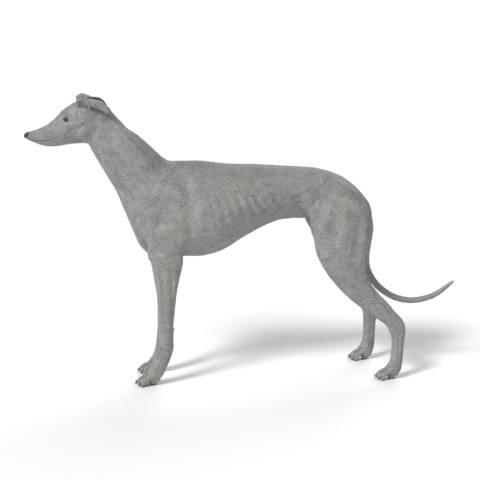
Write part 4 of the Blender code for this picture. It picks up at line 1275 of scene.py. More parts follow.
    def unwrap(self, points: np.ndarray) -> None:
        """Unrolls each stretch of the body round its own line, and sets the pieces side by side.

        Args:
            points: The skin's places.
        """
        mesh = self.mesh
        faces = np.empty(len(mesh.loops), np.int32)
        mesh.loops.foreach_get("vertex_index", faces)
        starts = np.empty(len(mesh.polygons), np.int32)
        sizes = np.empty(len(mesh.polygons), np.int32)
        mesh.polygons.foreach_get("loop_start", starts)
        mesh.polygons.foreach_get("loop_total", sizes)
        owner = np.repeat(np.arange(len(starts)), sizes)
        middle = np.stack([np.bincount(owner, points[faces, axis]) for axis in range(3)], 1) / sizes[:, None]
        which, _ = self.near(middle, self.bones)
        corner = which[owner]
        metric = np.zeros((len(faces), 2))
        for index, bone in enumerate(self.bones):
            chosen = np.nonzero(corner == index)[0]
            if not len(chosen):
                continue
            start, line = np.array(bone.start), np.array(bone.end) - np.array(bone.start)
            axis = line / np.linalg.norm(line)
            across = np.cross(axis, (0.0, 1.0, 0.0))
            across /= np.linalg.norm(across)
            other = np.cross(axis, across)
            away = points[faces[chosen]] - start
            angle = np.arctan2(away @ other, away @ across)
            first = angle[np.searchsorted(owner[chosen], owner[chosen])]
            angle += 2 * math.pi * np.round((first - angle) / (2 * math.pi))
            metric[chosen, 0] = away @ axis
            metric[chosen, 1] = angle * bone.reach
        layer = mesh.uv_layers.new(name="lie")
        layer.data.foreach_set("uv", metric.astype(np.float32).ravel())
        chart = np.zeros_like(metric)
        left, low, row = 0.0, 0.0, 0.0
        boxes = []
        for index in range(len(self.bones)):
            chosen = corner == index
            if chosen.any():
                least, most = metric[chosen].min(0), metric[chosen].max(0)
                boxes.append((index, least, most - least))
        boxes.sort(key=lambda item: -item[2][1])
        wide = math.sqrt(sum(size[0] * size[1] for _, _, size in boxes)) * 1.15
        for index, least, size in boxes:
            if left + size[0] > wide:
                left, low, row = 0.0, low + row + 0.01, 0.0
            chosen = corner == index
            chart[chosen] = metric[chosen] - least + (left, low)
            left, row = left + size[0] + 0.01, max(row, size[1])
        chart /= max(wide, low + row) * 1.01
        layer = mesh.attributes.new("chart", "FLOAT_VECTOR", "CORNER")
        chart = np.column_stack([chart, np.zeros(len(chart))])
        layer.data.foreach_set("vector", chart.astype(np.float32).ravel())

    def dress(self, finish: bpy.types.Material) -> None:
        """Gives the skin its finish and lets it stand for the solids of flesh.

        Args:
            finish: The coat's material with relief.
        """
        self.mesh.materials.clear()
        self.mesh.materials.append(finish)
        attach(self.obj, BODY)
        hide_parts(*FLESH, *EARS)
        LOG.info("skin: %d triangles", len(triangles(self.mesh)))


# The coat

class Tree:
    """Builds a Geometry Nodes tree in plain steps."""

    def __init__(self, name: str) -> None:
        """Starts an empty tree with a geometry input and output."""
        self.tree = bpy.data.node_groups.new(name, "GeometryNodeTree")
        self.tree.interface.new_socket("Geometry", in_out="INPUT", socket_type="NodeSocketGeometry")
        self.tree.interface.new_socket("Geometry", in_out="OUTPUT", socket_type="NodeSocketGeometry")
        self.keys: dict[str, str] = {}
        self.start: bpy.types.Node | None = None

    def asks(self, name: str, kind: str, value: object = None) -> None:
        """Adds a named input.

        Args:
            name: Its name.
            kind: Its socket type.
            value: What it is unless the modifier says otherwise.
        """
        socket = self.tree.interface.new_socket(name, in_out="INPUT", socket_type=kind)
        if value is not None:
            socket.default_value = value
        self.keys[name] = socket.identifier

    def given(self, name: str) -> bpy.types.NodeSocket:
        """An input's value inside the tree."""
        if self.start is None:
            self.start = self.tree.nodes.new("NodeGroupInput")
        return self.start.outputs[name]

    def add(self, kind: str, links: dict | None = None, **values: object) -> bpy.types.Node:
        """Adds a node.

        Args:
            kind: Its type.
            links: What goes into its inputs, by name or number.
            values: Its attributes and plain inputs.

        Returns:
            The node.
        """
        made = node_at(self.tree, kind, **values)
        for key, source in (links or {}).items():
            if isinstance(source, bpy.types.NodeSocket):
                self.tree.links.new(source, made.inputs[key])
            else:
                made.inputs[key].default_value = source
        return made

    def ends(self, source: bpy.types.NodeSocket) -> bpy.types.NodeTree:
        """Links the result to the output."""
        end = self.tree.nodes.new("NodeGroupOutput")
        self.tree.links.new(source, end.inputs["Geometry"])
        return self.tree


@dataclass(frozen=True)
class Tufts:
    """The tufts of one region: how many a square metre, how long and wide, and how far they stand off."""

    region: str
    density: float
    length: float
    width: float
    lift: float
    halves: bool = False
    most: int = 195_000


TUFT_TRIANGLES = 4
COAT = (
    Tufts("head", 1_000_000, 0.0034, 0.00040, 0.035),
    Tufts("ear", 1_700_000, 0.0018, 0.00034, 0.010),
    Tufts("neck", 340_000, 0.0070, 0.00065, 0.038),
    Tufts("chest", 255_000, 0.0085, 0.00080, 0.038, True),
    Tufts("loins", 270_000, 0.0085, 0.00080, 0.038),
    Tufts("foreleg", 390_000, 0.0060, 0.00060, 0.038, True),
    Tufts("hindleg", 280_000, 0.0075, 0.00075, 0.038, True),
    Tufts("paw", 800_000, 0.0030, 0.00040, 0.035),
    Tufts("tail", 700_000, 0.0068, 0.00052, 0.035),
)


@dataclass
class Coat:
    """The tufts of the coat, set on the skin by Geometry Nodes along the lie of the hair."""

    skin: Skin
    patch: float = 0.003
    sleek: float = 0.80
    made: list[bpy.types.Object] = field(default_factory=list)

    def tuft(self) -> bpy.types.Object:
        """One tuft of unit length along X: a flat, thin, tapering wisp, closed at its root.

        Returns:
            The helper object. Its attribute patch says where each corner is on its own map.
        """
        places_of = [(0.0, -0.5, -0.16), (0.0, 0.5, -0.16), (0.0, 0.0, 0.20), (1.0, 0.0, 0.10)]
        patch_of = [(0.0, 0.0), (0.0, 1.0), (0.3, 0.5), (1.0, 0.5)]
        mesh = bpy.data.meshes.new("tuft")
        mesh.from_pydata(places_of, [], [(0, 1, 2), (0, 3, 1), (1, 3, 2), (2, 3, 0)])
        shape = bmesh.new()
        shape.from_mesh(mesh)
        bmesh.ops.recalc_face_normals(shape, faces=shape.faces)
        shape.to_mesh(mesh)
        shape.free()
        mesh.shade_smooth()
        values = []
        for loop in mesh.loops:
            values += [*patch_of[loop.vertex_index], 0.0]
        mesh.attributes.new("patch", "FLOAT_VECTOR", "CORNER").data.foreach_set("vector", values)
        return linked("tuft", mesh)

    def tree(self) -> Tree:
        """The Geometry Nodes tree that sets the tufts."""
        made = Tree("coat_tufts")
        for name, kind, value in (
            ("Density", "NodeSocketFloat", 1000.0), ("Length", "NodeSocketFloat", 0.008),
            ("Width", "NodeSocketFloat", 0.0009), ("Lift", "NodeSocketFloat", 0.08),
            ("Patch", "NodeSocketFloat", 0.003), ("Seed", "NodeSocketInt", SEED),
            ("Tuft", "NodeSocketObject", None), ("Material", "NodeSocketMaterial", None),
        ):
            made.asks(name, kind, value)

        def named(name: str, kind: str) -> bpy.types.NodeSocket:
            """An attribute of the mesh."""
            return made.add("GeometryNodeInputNamedAttribute", data_type=kind, in_Name=name).outputs["Attribute"]

        def chance(low: float, high: float, offset: int) -> bpy.types.NodeSocket:
            """A random number for each tuft."""
            seed = made.add("ShaderNodeMath", {0: made.given("Seed"), 1: float(offset)}, operation="ADD")
            node = made.add("FunctionNodeRandomValue", {"Seed": seed.outputs[0]}, data_type="FLOAT")
            node.inputs[2].default_value, node.inputs[3].default_value = low, high
            return node.outputs[1]

        def times(first: object, second: object) -> bpy.types.NodeSocket:
            """Two numbers multiplied."""
            return made.add("ShaderNodeMath", {0: first, 1: second}, operation="MULTIPLY").outputs[0]

        cover = times(named("cover", "FLOAT"), made.given("Density"))
        points = made.add("GeometryNodeDistributePointsOnFaces", {
            "Mesh": made.given("Geometry"), "Density": cover, "Seed": made.given("Seed")},
            distribute_method="RANDOM")
        axes = made.add("FunctionNodeAxesToRotation", {
            "Primary Axis": points.outputs["Normal"], "Secondary Axis": named("lie", "FLOAT_VECTOR")},
            primary_axis="Z", secondary_axis="X")
        tilt = made.add("ShaderNodeCombineXYZ", {
            "X": chance(-0.22, 0.22, 3),
            "Y": times(times(made.given("Lift"), chance(0.3, 1.6, 5)), -1.0),
            "Z": chance(-0.20, 0.20, 7)})
        turned = made.add("FunctionNodeRotateRotation", {
            "Rotation": axes.outputs["Rotation"], "Rotate By": tilt.outputs["Vector"]}, rotation_space="LOCAL")
        long = times(times(made.given("Length"), named("length", "FLOAT")), chance(0.65, 1.25, 11))
        wide = times(made.given("Width"), chance(0.7, 1.3, 13))
        size = made.add("ShaderNodeCombineXYZ", {"X": long, "Y": wide, "Z": wide})
        tuft = made.add("GeometryNodeObjectInfo", {"Object": made.given("Tuft")}, transform_space="ORIGINAL")
        ground = made.add("GeometryNodeStoreNamedAttribute", {
            "Geometry": points.outputs["Points"], "Value": points.outputs["Normal"]},
            data_type="FLOAT_VECTOR", domain="POINT", in_Name="ground")
        standing = made.add("GeometryNodeInstanceOnPoints", {
            "Points": ground.outputs["Geometry"], "Instance": tuft.outputs["Geometry"],
            "Rotation": turned.outputs["Rotation"], "Scale": size.outputs["Vector"]})
        real = made.add("GeometryNodeRealizeInstances", {"Geometry": standing.outputs["Instances"]})
        spread = made.add("ShaderNodeVectorMath", {0: named("patch", "FLOAT_VECTOR"), "Scale": made.given("Patch")},
                          operation="SCALE")
        place = made.add("ShaderNodeVectorMath", {0: named("chart", "FLOAT_VECTOR"), 1: spread.outputs[0]},
                         operation="ADD")
        stored = made.add("GeometryNodeStoreNamedAttribute", {
            "Geometry": real.outputs["Geometry"], "Value": place.outputs[0]},
            data_type="FLOAT2", domain="CORNER", in_Name="OFBake")
        worn = made.add("GeometryNodeSetMaterial", {
            "Geometry": stored.outputs["Geometry"], "Material": made.given("Material")})
        made.ends(worn.outputs["Geometry"])
        return made

    def light_like_skin(self, mesh: bpy.types.Mesh) -> None:
        """Turns the tufts' normals towards those of the skin below, so that the coat shades as one sleek surface.

        Args:
            mesh: The tufts, with the attribute ground.
        """
        flat = np.empty(len(mesh.vertices) * 3, np.float32)
        mesh.attributes["ground"].data.foreach_get("vector", flat)
        mixed = self.sleek * flat.reshape(-1, 3) + (1.0 - self.sleek) * outward(mesh)
        mixed /= np.maximum(np.linalg.norm(mixed, axis=1), 1e-9)[:, None]
        mesh.normals_split_custom_set_from_vertices(mixed.tolist())

    def cover(self, tufts: Tufts, points: np.ndarray, which: np.ndarray) -> np.ndarray:
        """Where this region's tufts grow, from 0 to 1.

        Args:
            tufts: The region's tufts.
            points: The skin's places.
            which: The number of each place's stretch.

        Returns:
            The share of the full density at each place.
        """
        chosen = np.array([bone.region == tufts.region for bone in self.skin.bones])[which]
        x, _, z = points.T
        cover = chosen.astype(float)
        cover *= np.clip((z - 0.0050) / 0.003, 0.0, 1.0)
        cover *= np.clip((x - nose_border(z) - 0.0010) / 0.003, 0.0, 1.0)
        for s in (-1.0, 1.0):
            eye = np.linalg.norm(points - np.array(EYE_CENTRE) * (1.0, -s, 1.0), axis=1)
            cover *= np.clip((eye - 0.0125) / 0.002, 0.0, 1.0)
        mouth = np.full(len(points), np.inf)
        for a, b in curve_through(MOUTH, 0.002):
            mouth = np.minimum(mouth, np.hypot(x - a, z - b))
        return cover * np.clip((mouth - 0.0016) / 0.0014, 0.0, 1.0)

    def flatness(self, mesh: bpy.types.Mesh) -> np.ndarray:
        """How flat the skin is round each place, from 0 on the edge of an ear or in a cleft to 1."""
        normals, edges = outward(mesh), edge_pairs(mesh)
        mean = np.stack([blurred(normals[:, axis], edges, 5) for axis in range(3)], 1)
        return np.clip((np.linalg.norm(mean, axis=1) - 0.80) / 0.17, 0.0, 1.0)

    def lengths(self, points: np.ndarray) -> np.ndarray:
        """How long the hair is at each place, as a share of its region's length."""
        x, y, z = points.T
        side = np.abs(y)
        long = np.ones(len(points))
        long *= 1.0 - 0.55 * np.clip((-0.560 - x) / 0.090, 0.0, 1.0)
        tail = (x > 0.36) & (side < 0.018) & (z < 0.54)
        long += 0.15 * tail * np.clip((0.50 - z) / 0.10, 0.0, 1.0)
        breech = np.clip(1.0 - np.hypot(x - 0.385, z - 0.50) / 0.07, 0.0, 1.0)
        brisket = np.clip(1.0 - np.hypot(x + 0.16, z - 0.405) / 0.10, 0.0, 1.0) * (side < 0.03)
        return long + 0.35 * breech + 0.30 * brisket

    def build(self, finish: bpy.types.Material) -> None:
        """Grows the coat, one piece for each region.

        Args:
            finish: The coat's material.
        """
        source = self.tuft()
        tree = self.tree()
        mesh = self.skin.mesh
        points = places(mesh)
        which, _ = Skin.near(points, self.skin.bones)
        areas = np.zeros(len(points))
        corners = triangles(mesh)
        first, second, third = (points[corners[:, column]] for column in range(3))
        spans = np.cross(second - first, third - first)
        each = np.linalg.norm(spans, axis=1) / 6.0
        for column in range(3):
            areas += np.bincount(corners[:, column], each, len(points))
        flat = self.flatness(mesh)
        lengths = self.lengths(points) * (0.30 + 0.70 * flat)
        beds = [(tufts, side) for tufts in COAT for side in (Side if tufts.halves else (None,))]
        for number, (tufts, side) in enumerate(beds):
            cover = self.cover(tufts, points, which) * (0.35 + 0.65 * flat)
            label = f"coat_{tufts.region}"
            if side is not None:
                cover *= points[:, 1] * side.value > 0.0
                label += f"_{side.name.lower()}"
            ground = self.skin.mesh.copy()
            for name, values in (("cover", cover), ("length", lengths)):
                ground.attributes.new(name, "FLOAT", "POINT").data.foreach_set("value", values.astype(np.float32))
            expected = float((cover * areas).sum()) * tufts.density
            share = min(1.0, tufts.most / TUFT_TRIANGLES / max(expected, 1.0)) * 0.97
            grown = linked(label, ground)
            modifier = grown.modifiers.new("tufts", "NODES")
            modifier.node_group = tree.tree
            for name, value in (
                ("Density", tufts.density * share), ("Length", tufts.length), ("Width", tufts.width),
                ("Lift", tufts.lift), ("Patch", self.patch), ("Seed", SEED + 20 * number),
                ("Tuft", source), ("Material", finish),
            ):
                modifier[tree.keys[name]] = value
            made = applied(grown)
            self.light_like_skin(made)
            for name in ("lie", "length", "cover", "patch", "chart", "ground"):
                if name in made.attributes:
                    made.attributes.remove(made.attributes[name])
            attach(grown, BODY)
            self.made.append(grown)
            LOG.info("%s: %d triangles, share %.2f", label, len(triangles(made)), share)
        drop(source)


# Eyes, nose, claws and whiskers

EYE_CENTRE = (-0.5515, -0.0255, 0.8475)
EYE_LOOK = (-0.50, -0.84, 0.16)


@dataclass
class Eye:
    """One eyeball with its clear front, the dark rims of its lids and the lashes."""

    side: Side
    radius: float = 0.0104
    iris_angle: float = 0.62
    bulge: float = 0.0009
    rings: int = 40
    spokes: int = 64
    opening: tuple[float, float] = (0.0094, 0.0055)
    rim_width: float = 0.00082
    centre: Vector = field(default_factory=Vector)
    look: Vector = field(default_factory=Vector)

    def settle(self) -> None:
        """Finds the eye's place from its solid."""
        low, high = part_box(f"eye_{self.side.name.lower()}")
        self.centre = (low + high) / 2
        self.look = Vector((EYE_LOOK[0], -self.side.value * EYE_LOOK[1], EYE_LOOK[2])).normalized()

    def axes(self) -> tuple[Vector, Vector, Vector]:
        """The eye's own axes: towards its inner corner, up and out."""
        out = self.look
        inner = Vector((-1.0, 0.0, -0.12))
        inner = (inner - out * inner.dot(out)).normalized()
        up = out.cross(inner) if out.cross(inner).z > 0 else inner.cross(out)
        return inner, up.normalized(), out

    def build(self, gloss: bpy.types.Material, leather: bpy.types.Material, hair: bpy.types.Material) -> None:
        """Makes and dresses the eye's pieces.

        Args:
            gloss: The eyeball's finish.
            leather: The lid rims' finish.
            hair: The lashes' finish.
        """
        self.settle()
        label = self.side.name.lower()
        ball = self.ball(gloss, f"eyeball_{label}")
        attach(ball, BODY)
        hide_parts(f"eye_{label}")
        rims = self.rims(leather, f"lid_rims_{label}")
        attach(rims, BODY)
        lashes = self.lashes(hair, f"lashes_{label}")
        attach(lashes, BODY)
        LOG.info("%s eye: %d triangles", label, sum(len(triangles(o.data)) for o in (ball, rims, lashes)))

    def ball(self, gloss: bpy.types.Material, name: str) -> bpy.types.Object:
        """The eyeball, with rings round its line of sight and the cornea standing out.

        Args:
            gloss: Its finish.
            name: Its name.

        Returns:
            The object.
        """
        inner, up, out = self.axes()
        shape = bmesh.new()
        gaze = shape.verts.layers.float.new("gaze")
        turn = shape.loops.layers.uv.new("turn")
        rows: list[list[bmesh.types.BMVert]] = []
        for ring in range(self.rings + 1):
            angle = math.pi * (ring / self.rings) ** 1.25
            swell = self.bulge * max(0.0, 1.0 - (angle / self.iris_angle) ** 2) ** 1.2
            count = 1 if ring in (0, self.rings) else self.spokes
            row = []
            for spoke in range(count):
                around = 2 * math.pi * spoke / self.spokes
                way = out * math.cos(angle) + (inner * math.cos(around) + up * math.sin(around)) * math.sin(angle)
                vert = shape.verts.new(self.centre + way * (self.radius + swell))
                vert[gaze] = angle / self.iris_angle
                row.append(vert)
            rows.append(row)
        for ring, (here, there) in enumerate(zip(rows, rows[1:])):
            for spoke in range(self.spokes):
                after = (spoke + 1) % self.spokes
                corners = [here[spoke % len(here)], here[after % len(here)],
                           there[after % len(there)], there[spoke % len(there)]]
                spans = [spoke, spoke + 1, spoke + 1, spoke]
                depths = [ring, ring, ring + 1, ring + 1]
                unique = [i for i in range(4) if corners[i] not in corners[:i]]
                face = shape.faces.new([corners[i] for i in unique])
                for loop, i in zip(face.loops, unique):
                    loop[turn].uv = (spans[i] / self.spokes, depths[i] / self.rings)
        bmesh.ops.recalc_face_normals(shape, faces=shape.faces)
        mesh = bpy.data.meshes.new(name)
        shape.to_mesh(mesh)
        shape.free()
        mesh.shade_smooth()
        mesh.materials.append(gloss)
        return linked(name, mesh)

    def edge(self, share: float, grow: float, height: float) -> Vector:
        """A point on the edge of the lids.

        Args:
            share: How far round it is, from the inner corner over the upper lid.
            grow: How much further out than the opening.
            height: How far above the eyeball.

        Returns:
            The point.
        """
        inner, up, out = self.axes()
        turn = 2 * math.pi * share
        wide = self.opening[0] + grow
        tall = (self.opening[1] * (1.05 if math.sin(turn) > 0 else 0.92)) + grow
        a = wide * math.copysign(abs(math.cos(turn)) ** 0.90, math.cos(turn))
        b = tall * math.copysign(abs(math.sin(turn)) ** 1.30, math.sin(turn))
        if math.cos(turn) > 0.80:
            a += 0.0016 * (math.cos(turn) - 0.80) / 0.20
            b -= 0.0006 * (math.cos(turn) - 0.80) / 0.20
        a = min(a, self.radius * 0.985)
        deep = math.sqrt(max(self.radius ** 2 - a * a - b * b, 1e-8))
        way = (inner * a + up * b + out * deep).normalized()
        return self.centre + way * (self.radius + height)

    def rims(self, leather: bpy.types.Material, name: str) -> bpy.types.Object:
        """The dark edges of both lids, as one closed soft ring on the eyeball.

        Args:
            leather: Their finish.
            name: Their name.

        Returns:
            The object.
        """
        shape = bmesh.new()
        steps, around = 72, 10
        rows = []
        for step in range(steps):
            share = step / steps
            here = self.edge(share, 0.0, 0.0003)
            ahead = (self.edge(share + 0.004, 0.0, 0.0003) - self.edge(share - 0.004, 0.0, 0.0003)).normalized()
            out = (here - self.centre).normalized()
            across = ahead.cross(out).normalized()
            upper = math.sin(2 * math.pi * share) > 0
            size = self.rim_width * (1.25 if upper else 0.95)
            row = []
            for index in range(around):
                turn = 2 * math.pi * index / around
                wide, tall = math.cos(turn) * size * 1.15, math.sin(turn) * size
                row.append(shape.verts.new(here + across * wide + out * tall))
            rows.append(row)
        for here, there in zip(rows, rows[1:] + rows[:1]):
            for index in range(around):
                after = (index + 1) % around
                shape.faces.new((here[index], here[after], there[after], there[index]))
        bmesh.ops.recalc_face_normals(shape, faces=shape.faces)
        mesh = bpy.data.meshes.new(name)
        shape.to_mesh(mesh)
        shape.free()
        mesh.shade_smooth()
        mesh.materials.append(leather)
        return linked(name, mesh)

    def lashes(self, hair: bpy.types.Material, name: str) -> bpy.types.Object:
        """The short lashes of the upper lid.

        Args:
            hair: Their finish.
            name: Their name.

        Returns:
            The object.
        """
        strands = []
        rng = np.random.default_rng(SEED + 5 + int(self.side.value))
        _, up, _ = self.axes()
        for share in np.linspace(0.10, 0.42, 26):
            root = self.edge(float(share), 0.0006, 0.0006)
            out = (root - self.centre).normalized()
            length = 0.0042 * rng.uniform(0.75, 1.15)
            way = (out * 0.85 + up * 0.35 + Vector(rng.normal(0, 0.06, 3))).normalized()
            strands.append([root, root + way * length * 0.5, root + way * length + up * length * 0.25])
        return strands_object(name, strands, 0.00009, hair)


def strands_object(name: str, strands: list[list[Vector]], radius: float, finish: bpy.types.Material,
                   sides: int = 5) -> bpy.types.Object:
    """Thin tapering hairs as one mesh, with the attribute worn from 0 at each root to 1 at its tip.

    Args:
        name: The piece's name.
        strands: The points of each hair.
        radius: The hairs' radius at the root, in metres.
        finish: Their material.
        sides: How many faces go round a hair.

    Returns:
        The object.
    """
    shape = bmesh.new()
    worn = shape.verts.layers.float.new("worn")
    for strand in strands:
        line = [Vector(point) for point in curve_through([tuple(p) for p in strand], 0.0035)]
        rows = []
        for index, here in enumerate(line):
            share = index / (len(line) - 1)
            ahead = (line[min(index + 1, len(line) - 1)] - line[max(index - 1, 0)]).normalized()
            across = ahead.orthogonal().normalized() if not rows else (across - ahead * across.dot(ahead)).normalized()
            other = ahead.cross(across)
            size = radius * (1.0 - share) ** 0.7
            if index == len(line) - 1:
                rows.append([shape.verts.new(here)])
            else:
                rows.append([shape.verts.new(here + (across * math.cos(t) + other * math.sin(t)) * size)
                             for t in (2 * math.pi * k / sides for k in range(sides))])
            for vert in rows[-1]:
                vert[worn] = share
        shape.faces.new(rows[0])
        for here, there in zip(rows, rows[1:]):
            for k in range(sides):
                after = (k + 1) % sides
                if len(there) == 1:
                    shape.faces.new((here[k], here[after], there[0]))
                else:
                    shape.faces.new((here[k], here[after], there[after], there[k]))
    bmesh.ops.recalc_face_normals(shape, faces=shape.faces)
    mesh = bpy.data.meshes.new(name)
    shape.to_mesh(mesh)
    shape.free()
    mesh.shade_smooth()
    mesh.materials.append(finish)
    return linked(name, mesh)


@dataclass
class Nose:
    """The nose leather, with its nostrils, its wings and the groove between them."""

    voxel: float = 0.00045
    proud: float = 0.0005
    hidden: float = 0.0014

    @staticmethod
    def broad_forms() -> Iterator[Stroke]:
        """The nostrils' mouths, the wings over them and the groove between."""
        yield Stroke(((0.0052, 0.7992), (0.0068, 0.7986)), 0.0029, -0.0030, Facing.FRONT, steep=1.0)
        yield Stroke(((0.0028, 0.8020), (0.0058, 0.8030), (0.0086, 0.8010)), 0.0026, 0.0009, Facing.FRONT)
        yield Stroke(((0.0, 0.7995), (0.0, 0.7940), (0.0, 0.7895)), 0.0012, -0.0011, Facing.FRONT)

    @staticmethod
    def fine_forms() -> Iterator[Stroke]:
        """The slits that run outwards and back from the nostrils."""
        yield Stroke(((0.0070, 0.7984), (0.0088, 0.7972), (0.0100, 0.7962)), 0.0014, -0.0016, Facing.FRONT)
        yield Stroke(((-0.6788, 0.7968), (-0.6755, 0.7962), (-0.6722, 0.7966)), 0.0013, -0.0015)
        yield Stroke(((-0.6790, 0.7996), (-0.6750, 0.7992), (-0.6722, 0.7992)), 0.0015, 0.0005)

    def build(self, leather: bpy.types.Material) -> None:
        """Makes the nose from its solid, and carves it.

        Args:
            leather: Its finish.
        """
        shape = bmesh.new()
        shape.from_mesh(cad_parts["nose"].data)
        bmesh.ops.remove_doubles(shape, verts=shape.verts, dist=1e-6)
        bmesh.ops.recalc_face_normals(shape, faces=shape.faces)
        mesh = bpy.data.meshes.new("nose_leather")
        shape.to_mesh(mesh)
        shape.free()
        obj = linked("nose_leather", mesh)
        remesh = obj.modifiers.new("close", "REMESH")
        remesh.mode = "VOXEL"
        remesh.voxel_size = self.voxel
        mesh = applied(obj)
        points, pairs = places(mesh), edge_pairs(mesh)
        move_to(mesh, relaxed(points, pairs, 12, 1.0))
        points, normals = places(mesh), outward(mesh)
        shown = np.clip((nose_border(points[:, 2]) - points[:, 0]) / 0.0024, 0.0, 1.0)
        shown = shown * shown * (3.0 - 2.0 * shown)
        points += normals * (self.proud * shown - self.hidden * (1.0 - shown))[:, None]
        move_to(mesh, points)
        carver = Carver(0.0005)
        carver.carve(mesh, self.broad_forms())
        carver.carve(mesh, self.fine_forms())
        move_to(mesh, relaxed(places(mesh), edge_pairs(mesh), 2, 0.7))
        mesh.shade_smooth()
        mesh.materials.clear()
        mesh.materials.append(leather)
        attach(obj, BODY)
        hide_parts("nose")
        LOG.info("nose: %d triangles", len(triangles(mesh)))


@dataclass
class Claws:
    """The claws of all four paws, each a curved tapering horn in its sheath of skin."""

    fore_print: dict[Side, float] = field(default_factory=lambda: {Side.LEFT: -0.3215, Side.RIGHT: -0.3055})
    hind_print: dict[Side, float] = field(default_factory=lambda: {Side.LEFT: 0.4405, Side.RIGHT: 0.3965})
    fore_stance: float = 0.060
    hind_stance: float = 0.102
    spreads: tuple[tuple[float, float], ...] = ((-0.0180, 0.0105), (-0.0064, 0.0), (0.0064, 0.0), (0.0180, 0.0105))
    length: float = 0.0140
    radius: float = 0.0032
    rings: int = 14
    sides: int = 12

    def tips(self) -> Iterator[Vector]:
        """The tip of every toe."""
        for prints, stance, narrow in (
            (self.fore_print, self.fore_stance, 1.0), (self.hind_print, self.hind_stance, 0.96)):
            for side, x in prints.items():
                for spread, back in self.spreads:
                    y = side.value * stance + spread * narrow
                    yield Vector((x - 0.0310 + back * 0.9, y + spread * 0.16, 0.0125))

    def build(self, horn: bpy.types.Material) -> None:
        """Makes all claws as one piece.

        Args:
            horn: Their finish.
        """
        shape = bmesh.new()
        worn = shape.verts.layers.float.new("worn")
        for tip in self.tips():
            rows = []
            for ring in range(self.rings):
                share = ring / (self.rings - 1)
                bend = share * share
                here = tip + Vector((0.004 - self.length * share * (1 - 0.12 * bend), 0.0,
                                     0.0010 + 0.0040 * share - 0.0125 * bend))
                ahead = Vector((-1.0, 0.0, (0.0040 - 0.0250 * share) / self.length)).normalized()
                up = Vector((0, 1, 0)).cross(ahead)
                up = up if up.z > 0 else -up
                size = self.radius * (1 - 0.78 * share ** 2.0)
                row = []
                for k in range(self.sides):
                    turn = 2 * math.pi * k / self.sides
                    tall = 1.18 if math.sin(turn) > 0 else 0.80
                    vert = shape.verts.new(here + Vector((0, 1, 0)) * math.cos(turn) * size * 0.80
                                           + up * math.sin(turn) * size * tall)
                    vert[worn] = max(0.0, share * 1.5 - 0.55)
                    row.append(vert)
                rows.append(row)
            shape.faces.new(rows[0])
            shape.faces.new(rows[-1])
            for here, there in zip(rows, rows[1:]):
                for k in range(self.sides):
                    after = (k + 1) % self.sides
                    shape.faces.new((here[k], here[after], there[after], there[k]))
        bmesh.ops.recalc_face_normals(shape, faces=shape.faces)
        mesh = bpy.data.meshes.new("claws")
        shape.to_mesh(mesh)
        shape.free()
        mesh.shade_smooth()
        mesh.materials.append(horn)
        obj = linked("claws", mesh)
        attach(obj, BODY)
        LOG.info("claws: %d triangles", len(triangles(mesh)))


@dataclass
class Whiskers:
    """The stiff hairs of the muzzle, the brows, the cheeks and the chin."""

    skin: Skin
    radius: float = 0.00016

    def build(self, hair: bpy.types.Material) -> None:
        """Makes all whiskers as one piece.

        Args:
            hair: Their finish.
        """
        points = places(self.skin.mesh)
        tree = BVHTree.FromPolygons(points.tolist(), triangles(self.skin.mesh).tolist())
        rng = np.random.default_rng(SEED + 40)
        strands = []
        rows = [(-0.662 + 0.0095 * k + 0.003 * r, 0.7935 + 0.0048 * r + 0.0018 * k, 0.020 + 0.0045 * k)
                for r in range(3) for k in range(5)]
        rows += [(-0.560, 0.864, 0.020), (-0.556, 0.866, 0.024), (-0.552, 0.8655, 0.018),
                 (-0.552, 0.806, 0.020), (-0.548, 0.803, 0.016), (-0.640, 0.772, 0.014), (-0.630, 0.7695, 0.016),
                 (-0.650, 0.775, 0.012)]
        for side in Side:
            for x, z, length in rows:
                jitter = rng.normal(0, 0.0007, 2)
                start = Vector((x + jitter[0], side.value * 0.2, z + jitter[1]))
                hit, normal, _, _ = tree.ray_cast(start, Vector((0, -side.value, 0)))
                if hit is None:
                    continue
                long = length * rng.uniform(0.8, 1.15)
                brow = z > 0.85
                way = (normal * 0.75 + Vector((0.55 if not brow else -0.05, 0, -0.30 if not brow else 0.55))
                       + Vector(rng.normal(0, 0.08, 3))).normalized()
                root = hit - normal * 0.0006
                middle = root + way * long * 0.5
                tip = root + way * long + Vector((0.25, 0, -0.16)) * long * (0.6 if not brow else 0.3)
                strands.append([root, middle, tip])
        obj = strands_object("whiskers", strands, self.radius, hair)
        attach(obj, BODY)
        LOG.info("whiskers: %d hairs", len(strands))


# The studio

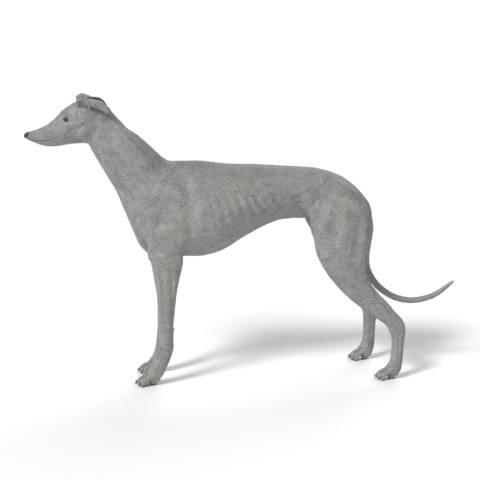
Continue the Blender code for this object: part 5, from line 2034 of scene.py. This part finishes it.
@dataclass
class Studio:
    """A plain pale floor, soft light and the camera at the photograph's angle."""

    target: Point = (-0.0195, 0.0, 0.4471)
    azimuth: float = -7.8
    elevation: float = 14.0
    distance: float = 4.8
    span: float = 1.5144
    floor_reach: float = 60.0
    sky: float = 0.33
    key: float = 2.58
    back: float = 1.2

    def build(self) -> None:
        """Makes floor, lights and camera."""
        self.floor()
        self.lights()
        self.camera()

    def floor(self) -> None:
        """A wide level floor of fine matt plaster."""
        mesh = bpy.data.meshes.new("floor")
        r = self.floor_reach
        mesh.from_pydata([(-r, -r, 0), (r, -r, 0), (r, r, 0), (-r, r, 0)], [], [(0, 1, 2, 3)])
        made, paint, shader = principled("floor_plaster", Roughness=0.85)
        shader.inputs["Specular IOR Level"].default_value = 0.1
        place = paint.place()
        colour = paint.mix(paint.noise(place, 1.2, 3.0), (0.90, 0.90, 0.90, 1.0), (0.92, 0.92, 0.92, 1.0))
        paint.join(colour, shader.inputs["Base Color"])
        mesh.materials.append(made)
        linked("floor", mesh)

    def lights(self) -> None:
        """A soft sky, white at the horizon, a key light from the upper left and a weaker light from behind."""
        world = bpy.data.worlds.new("studio")
        world.use_nodes = True
        background = world.node_tree.nodes["Background"]
        background.inputs["Color"].default_value = (1.0, 1.0, 1.0, 1.0)
        paint = Painter(world.node_tree)
        way = node_at(world.node_tree, "ShaderNodeTexCoord").outputs["Generated"]
        height = node_at(world.node_tree, "ShaderNodeSeparateXYZ")
        paint.join(way, height.inputs[0])
        paint.join(paint.ramp(height.outputs["Z"], 0.06, 0.30, 1.0, self.sky), background.inputs["Strength"])
        bpy.context.scene.world = world
        for name, place, angle, power, colour in (
            ("key", (-0.62, -0.50, 0.80), 16.0, self.key, (1.0, 0.99, 0.97)),
            ("back", (0.45, 0.75, 0.70), 40.0, self.back, (0.97, 0.985, 1.0)),
        ):
            data = bpy.data.lights.new(name, "SUN")
            data.angle = math.radians(angle)
            data.energy = power
            data.color = colour
            lamp = bpy.data.objects.new(name, data)
            lamp.location = Vector(place) * 4.0
            lamp.rotation_euler = (-Vector(place)).to_track_quat("-Z", "Y").to_euler()
            bpy.context.scene.collection.objects.link(lamp)
        view = bpy.context.scene.view_settings
        view.view_transform = "Standard"
        view.look = "None"

    def camera(self) -> None:
        """The camera, at the photograph's angle and framing."""
        a, e = math.radians(self.azimuth), math.radians(self.elevation)
        back = Vector((math.sin(a) * math.cos(e), -math.cos(a) * math.cos(e), math.sin(e)))
        data = bpy.data.cameras.new("camera")
        data.sensor_width = 36.0
        data.lens = 36.0 * self.distance / self.span
        data.clip_start, data.clip_end = 0.05, 200.0
        made = bpy.data.objects.new("camera", data)
        made.location = Vector(self.target) + back * self.distance
        made.rotation_euler = (-back).to_track_quat("-Z", "Y").to_euler()
        bpy.context.scene.collection.objects.link(made)
        bpy.context.scene.camera = made


def main() -> None:
    """Builds the greyhound's looks and the studio."""
    logging.basicConfig(level=logging.INFO, format="%(name)s: %(message)s")
    finish = CoatFinish()
    leather = LeatherFinish().material("nose_leather")
    rims = LeatherFinish(pebble=2200.0, relief=0.15, roughness=0.26).material("lid_rim")
    hair = HairFinish().material("whisker_hair")
    skin = Skin()
    skin.build()
    skin.dress(finish.material("coat_skin", True))
    Coat(skin).build(finish.material("coat_hair", False))
    for side in Side:
        Eye(side).build(EyeFinish().material(f"eye_{side.name.lower()}"), rims, hair)
    Nose().build(leather)
    Claws().build(HornFinish().material("claw_horn"))
    Whiskers(skin).build(hair)
    Studio().build()
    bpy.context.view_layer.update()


if __name__ == "__main__":
    main()
